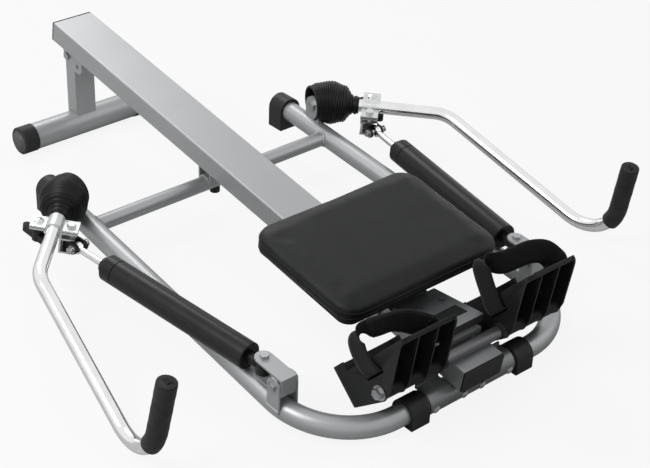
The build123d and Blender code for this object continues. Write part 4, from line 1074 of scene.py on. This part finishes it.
def plate_weld(sign, plate_x, low_y, high_y):
    """Bead along the foot of a plate that stands on a leg."""
    centre_y = (low_y + high_y) / 2
    reach = (high_y - low_y) / 2 - PLATE_EDGE
    row = []
    for k in range(9):
        y = centre_y + reach * (k / 4 - 1)
        leg = leg_point(y)
        off = plate_x - leg.x
        if abs(off) < LEG_RADIUS:
            z = leg.z + math.sqrt(LEG_RADIUS ** 2 - off ** 2) + LEG_LIFT
            row.append((Vector((sign * (plate_x + PLATE_LIFT), y, z)), Vector((sign * 0.7, 0, 0.7))))
    return row


def weld_lines():
    """Every bead on both legs, and whether it closes."""
    low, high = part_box("crossbar")
    middle = (low + high) / 2
    welds = []
    for sign in (-1, 1):
        welds.append((bar_weld(sign, middle, (high.z - low.z) / 2), True))
        for node, steps in (("clevis_ears", (0, EAR_STEP)), ("joint_brackets", (0,))):
            first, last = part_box(node)
            rows = [plate_weld(sign, last.x - step, first.y, last.y) for step in steps]
            welds += [(row, False) for row in rows if len(row) > 1]
    return welds


def welt_line(pad):
    """Closed line round the cushion's side, and the cover's face at each point."""
    along = joint_axis("seat_slide")
    up = Vector((1, 0, 0)).cross(along)
    if up.z < 0:
        up = -up
    centre = PLACE + RAIL_START + along * WELT_ALONG + up * WELT_HEIGHT
    loop = []
    for cx, cy, start in ((1, 1, 0), (-1, 1, 90), (-1, -1, 180), (1, -1, 270)):
        for k in range(13):
            angle = math.radians(start + 90 * k / 12)
            loop.append((cx * (WELT_HALF[0] - WELT_CORNER) + WELT_CORNER * math.cos(angle),
                         cy * (WELT_HALF[1] - WELT_CORNER) + WELT_CORNER * math.sin(angle)))
    path = []
    for (x0, y0), (x1, y1) in zip(loop, loop[1:] + loop[:1]):
        count = max(1, round(math.hypot(x1 - x0, y1 - y0) / WELT_STEP))
        for k in range(count):
            x, y = x0 + (x1 - x0) * k / count, y0 + (y1 - y0) * k / count
            _, place, normal, _ = pad.closest_point_on_mesh(centre + Vector((x, 0, 0)) + along * y)
            path.append((place + normal * WELT_LIFT, normal))
    return path


def tread_lines(side):
    """Lines along the sole, on which the tread bars of a pedal stand in rows."""
    out = (from_sole(0, 0, 1, side) - from_sole(0, 0, 0, side)).normalized()
    return [([(from_sole(x, along, TREAD_LIFT, side), out) for along in span], False)
            for x in TREAD_ROWS for span in TREAD_SPANS]


class ROWER_OT_trim(bpy.types.Operator):
    """Weld beads, the seat's welt, pedal treads and the discs in the end caps"""

    bl_idname = "rower.trim"
    bl_label = "Welds, welt and treads"

    def execute(self, context):
        size = context.scene.rower_trim
        beads = row_tree("weld_row", False)
        bars = row_tree("tread_row", True)
        welt = bead_tree("welt_bead")
        bead = (size.weld * 0.85, size.weld, size.weld * 0.7)
        weld = run_tree("weld_beads", weld_lines(), beads,
                        {"Pitch": size.weld * 0.5, "Size": bead, "Finish": MATERIALS["paint"]})
        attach(weld, "frame")

        path = welt_line(bpy.data.objects["seat_pad"])
        seam = run_tree("seat_welt", [(path, True)], welt, {"Radius": size.welt, "Finish": MATERIALS["vinyl"]})
        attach(seam, "seat")

        for side in SIDES:
            tread = run_tree("tread_bars_" + side, tread_lines(side), bars,
                             {"Pitch": size.pitch, "Size": (size.bar, *TREAD_SIZE), "Finish": MATERIALS["plastic"]})
            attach(tread, "foot_pedal_" + side)

        low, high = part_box("stabiliser_caps")
        middle = (low + high) / 2
        for side, sign in (("right", 1), ("left", -1)):
            end = high.x if sign > 0 else low.x
            points = [Vector((end + sign * (place + 1e-5 * i), middle.y, middle.z))
                      for i, (place, radius) in enumerate(CAP_DISC)]
            rings = tube_rings(points, [radius for place, radius in CAP_DISC], 64)
            disc = rings_object("cap_disc_" + side, rings, MATERIALS["disc"], (False, True))
            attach(disc, "rear_leg")
        return {"FINISHED"}


# Lamps: place, size and power. Floor: its reach, colour and share of white. Camera: focal length, picture
# width and shift in pixels, turn and place
LAMPS = {
    "key": ((-2.0, 0.1, 2.4), 1.6, 50),
    "fill": ((2.2, -1.6, 1.8), 1.8, 7),
    "rear": ((0.6, 2.2, 2.4), 1.4, 28),
}
LAMP_AIM = Vector((0, 0, 0.1))
FLOOR_REACH = 12.0
FLOOR_COLOUR = (0.66, 0.66, 0.66)
FLOOR_WHITE = 0.88
WORLD_LIGHT = 0.30
FOCAL, WIDTH, SHIFT = 1601.3, 650.0, (9.2, -10.8)
CAMERA_TURN = Vector((2.030, -0.7277, 0.4462))
CAMERA_PLACE = Vector((-1.4068, -1.2524, 1.4344))


class ROWER_OT_stage(bpy.types.Operator):
    """Floor, lights and camera"""

    bl_idname = "rower.stage"
    bl_label = "Stage"

    def execute(self, context):
        scene = context.scene
        paint = Paint("floor")
        paint.set(Base_Color=FLOOR_COLOUR, Roughness=0.9, Specular_IOR_Level=0.0)
        paint.whiten(("Is Camera Ray", "Is Transmission Ray"), FLOOR_WHITE)
        corners = [(x * FLOOR_REACH, y * FLOOR_REACH, 0) for x, y in ((-1, -1), (1, -1), (1, 1), (-1, 1))]
        new_object("floor", corners, [(0, 1, 2, 3)], paint.data, False)
        studio = Paint("studio", world=True)
        scene.world = studio.set(Color=(1, 1, 1), Strength=WORLD_LIGHT)
        studio.whiten(("Is Camera Ray", "Is Glossy Ray", "Is Transmission Ray"), 1.0)
        for name, (place, size, power) in LAMPS.items():
            data = bpy.data.lights.new(name, "AREA")
            data.shape = "SQUARE"
            data.size = size
            data.energy = power
            lamp = bpy.data.objects.new(name, data)
            lamp.location = place
            lamp.rotation_euler = (LAMP_AIM - Vector(place)).to_track_quat("-Z", "Y").to_euler()
            scene.collection.objects.link(lamp)
        data = bpy.data.cameras.new("camera")
        data.sensor_fit = "HORIZONTAL"
        data.lens = FOCAL / WIDTH * data.sensor_width
        data.shift_x, data.shift_y = (shift / WIDTH for shift in SHIFT)
        data.clip_end = 50
        camera = bpy.data.objects.new("camera", data)
        turn = Matrix.Rotation(CAMERA_TURN.length, 3, CAMERA_TURN.normalized())
        axes = Matrix((turn[0], -turn[1], -turn[2])).transposed()
        camera.matrix_world = Matrix.Translation(PLACE + CAMERA_PLACE) @ axes.to_4x4()
        scene.collection.objects.link(camera)
        scene.camera = camera
        scene.view_settings.view_transform = "Standard"
        return {"FINISHED"}


class ROWER_PT_panel(bpy.types.Panel):
    """Pieces of the rowing machine"""

    bl_label = "Rowing machine"
    bl_idname = "ROWER_PT_panel"
    bl_space_type = "VIEW_3D"
    bl_region_type = "UI"
    bl_category = "Rower"

    def draw(self, context):
        for operator in OPERATORS:
            self.layout.operator(operator.bl_idname)
        for group in GROUPS:
            settings = getattr(context.scene, group)
            for name in settings.bl_rna.properties.keys():
                if name not in ("rna_type", "name"):
                    self.layout.prop(settings, name)


GROUPS = {
    "rower_finish": ROWER_PG_finish,
    "rower_seat": ROWER_PG_seat,
    "rower_boot": ROWER_PG_boot,
    "rower_strap": ROWER_PG_strap,
    "rower_grip": ROWER_PG_grip,
    "rower_trim": ROWER_PG_trim,
}
OPERATORS = (
    ROWER_OT_finishes, ROWER_OT_cushion, ROWER_OT_boots, ROWER_OT_pedals,
    ROWER_OT_straps, ROWER_OT_grips, ROWER_OT_trim, ROWER_OT_stage,
)


def register():
    for cls in (*GROUPS.values(), *OPERATORS, ROWER_PT_panel):
        bpy.utils.register_class(cls)
    for name, cls in GROUPS.items():
        setattr(bpy.types.Scene, name, PointerProperty(type=cls))


def unregister():
    for name in GROUPS:
        delattr(bpy.types.Scene, name)
    for cls in reversed((*GROUPS.values(), *OPERATORS, ROWER_PT_panel)):
        bpy.utils.unregister_class(cls)


def main():
    register()
    for operator in OPERATORS:
        group, name = operator.bl_idname.split(".")
        getattr(getattr(bpy.ops, group), name)()


if __name__ == "__main__":
    main()
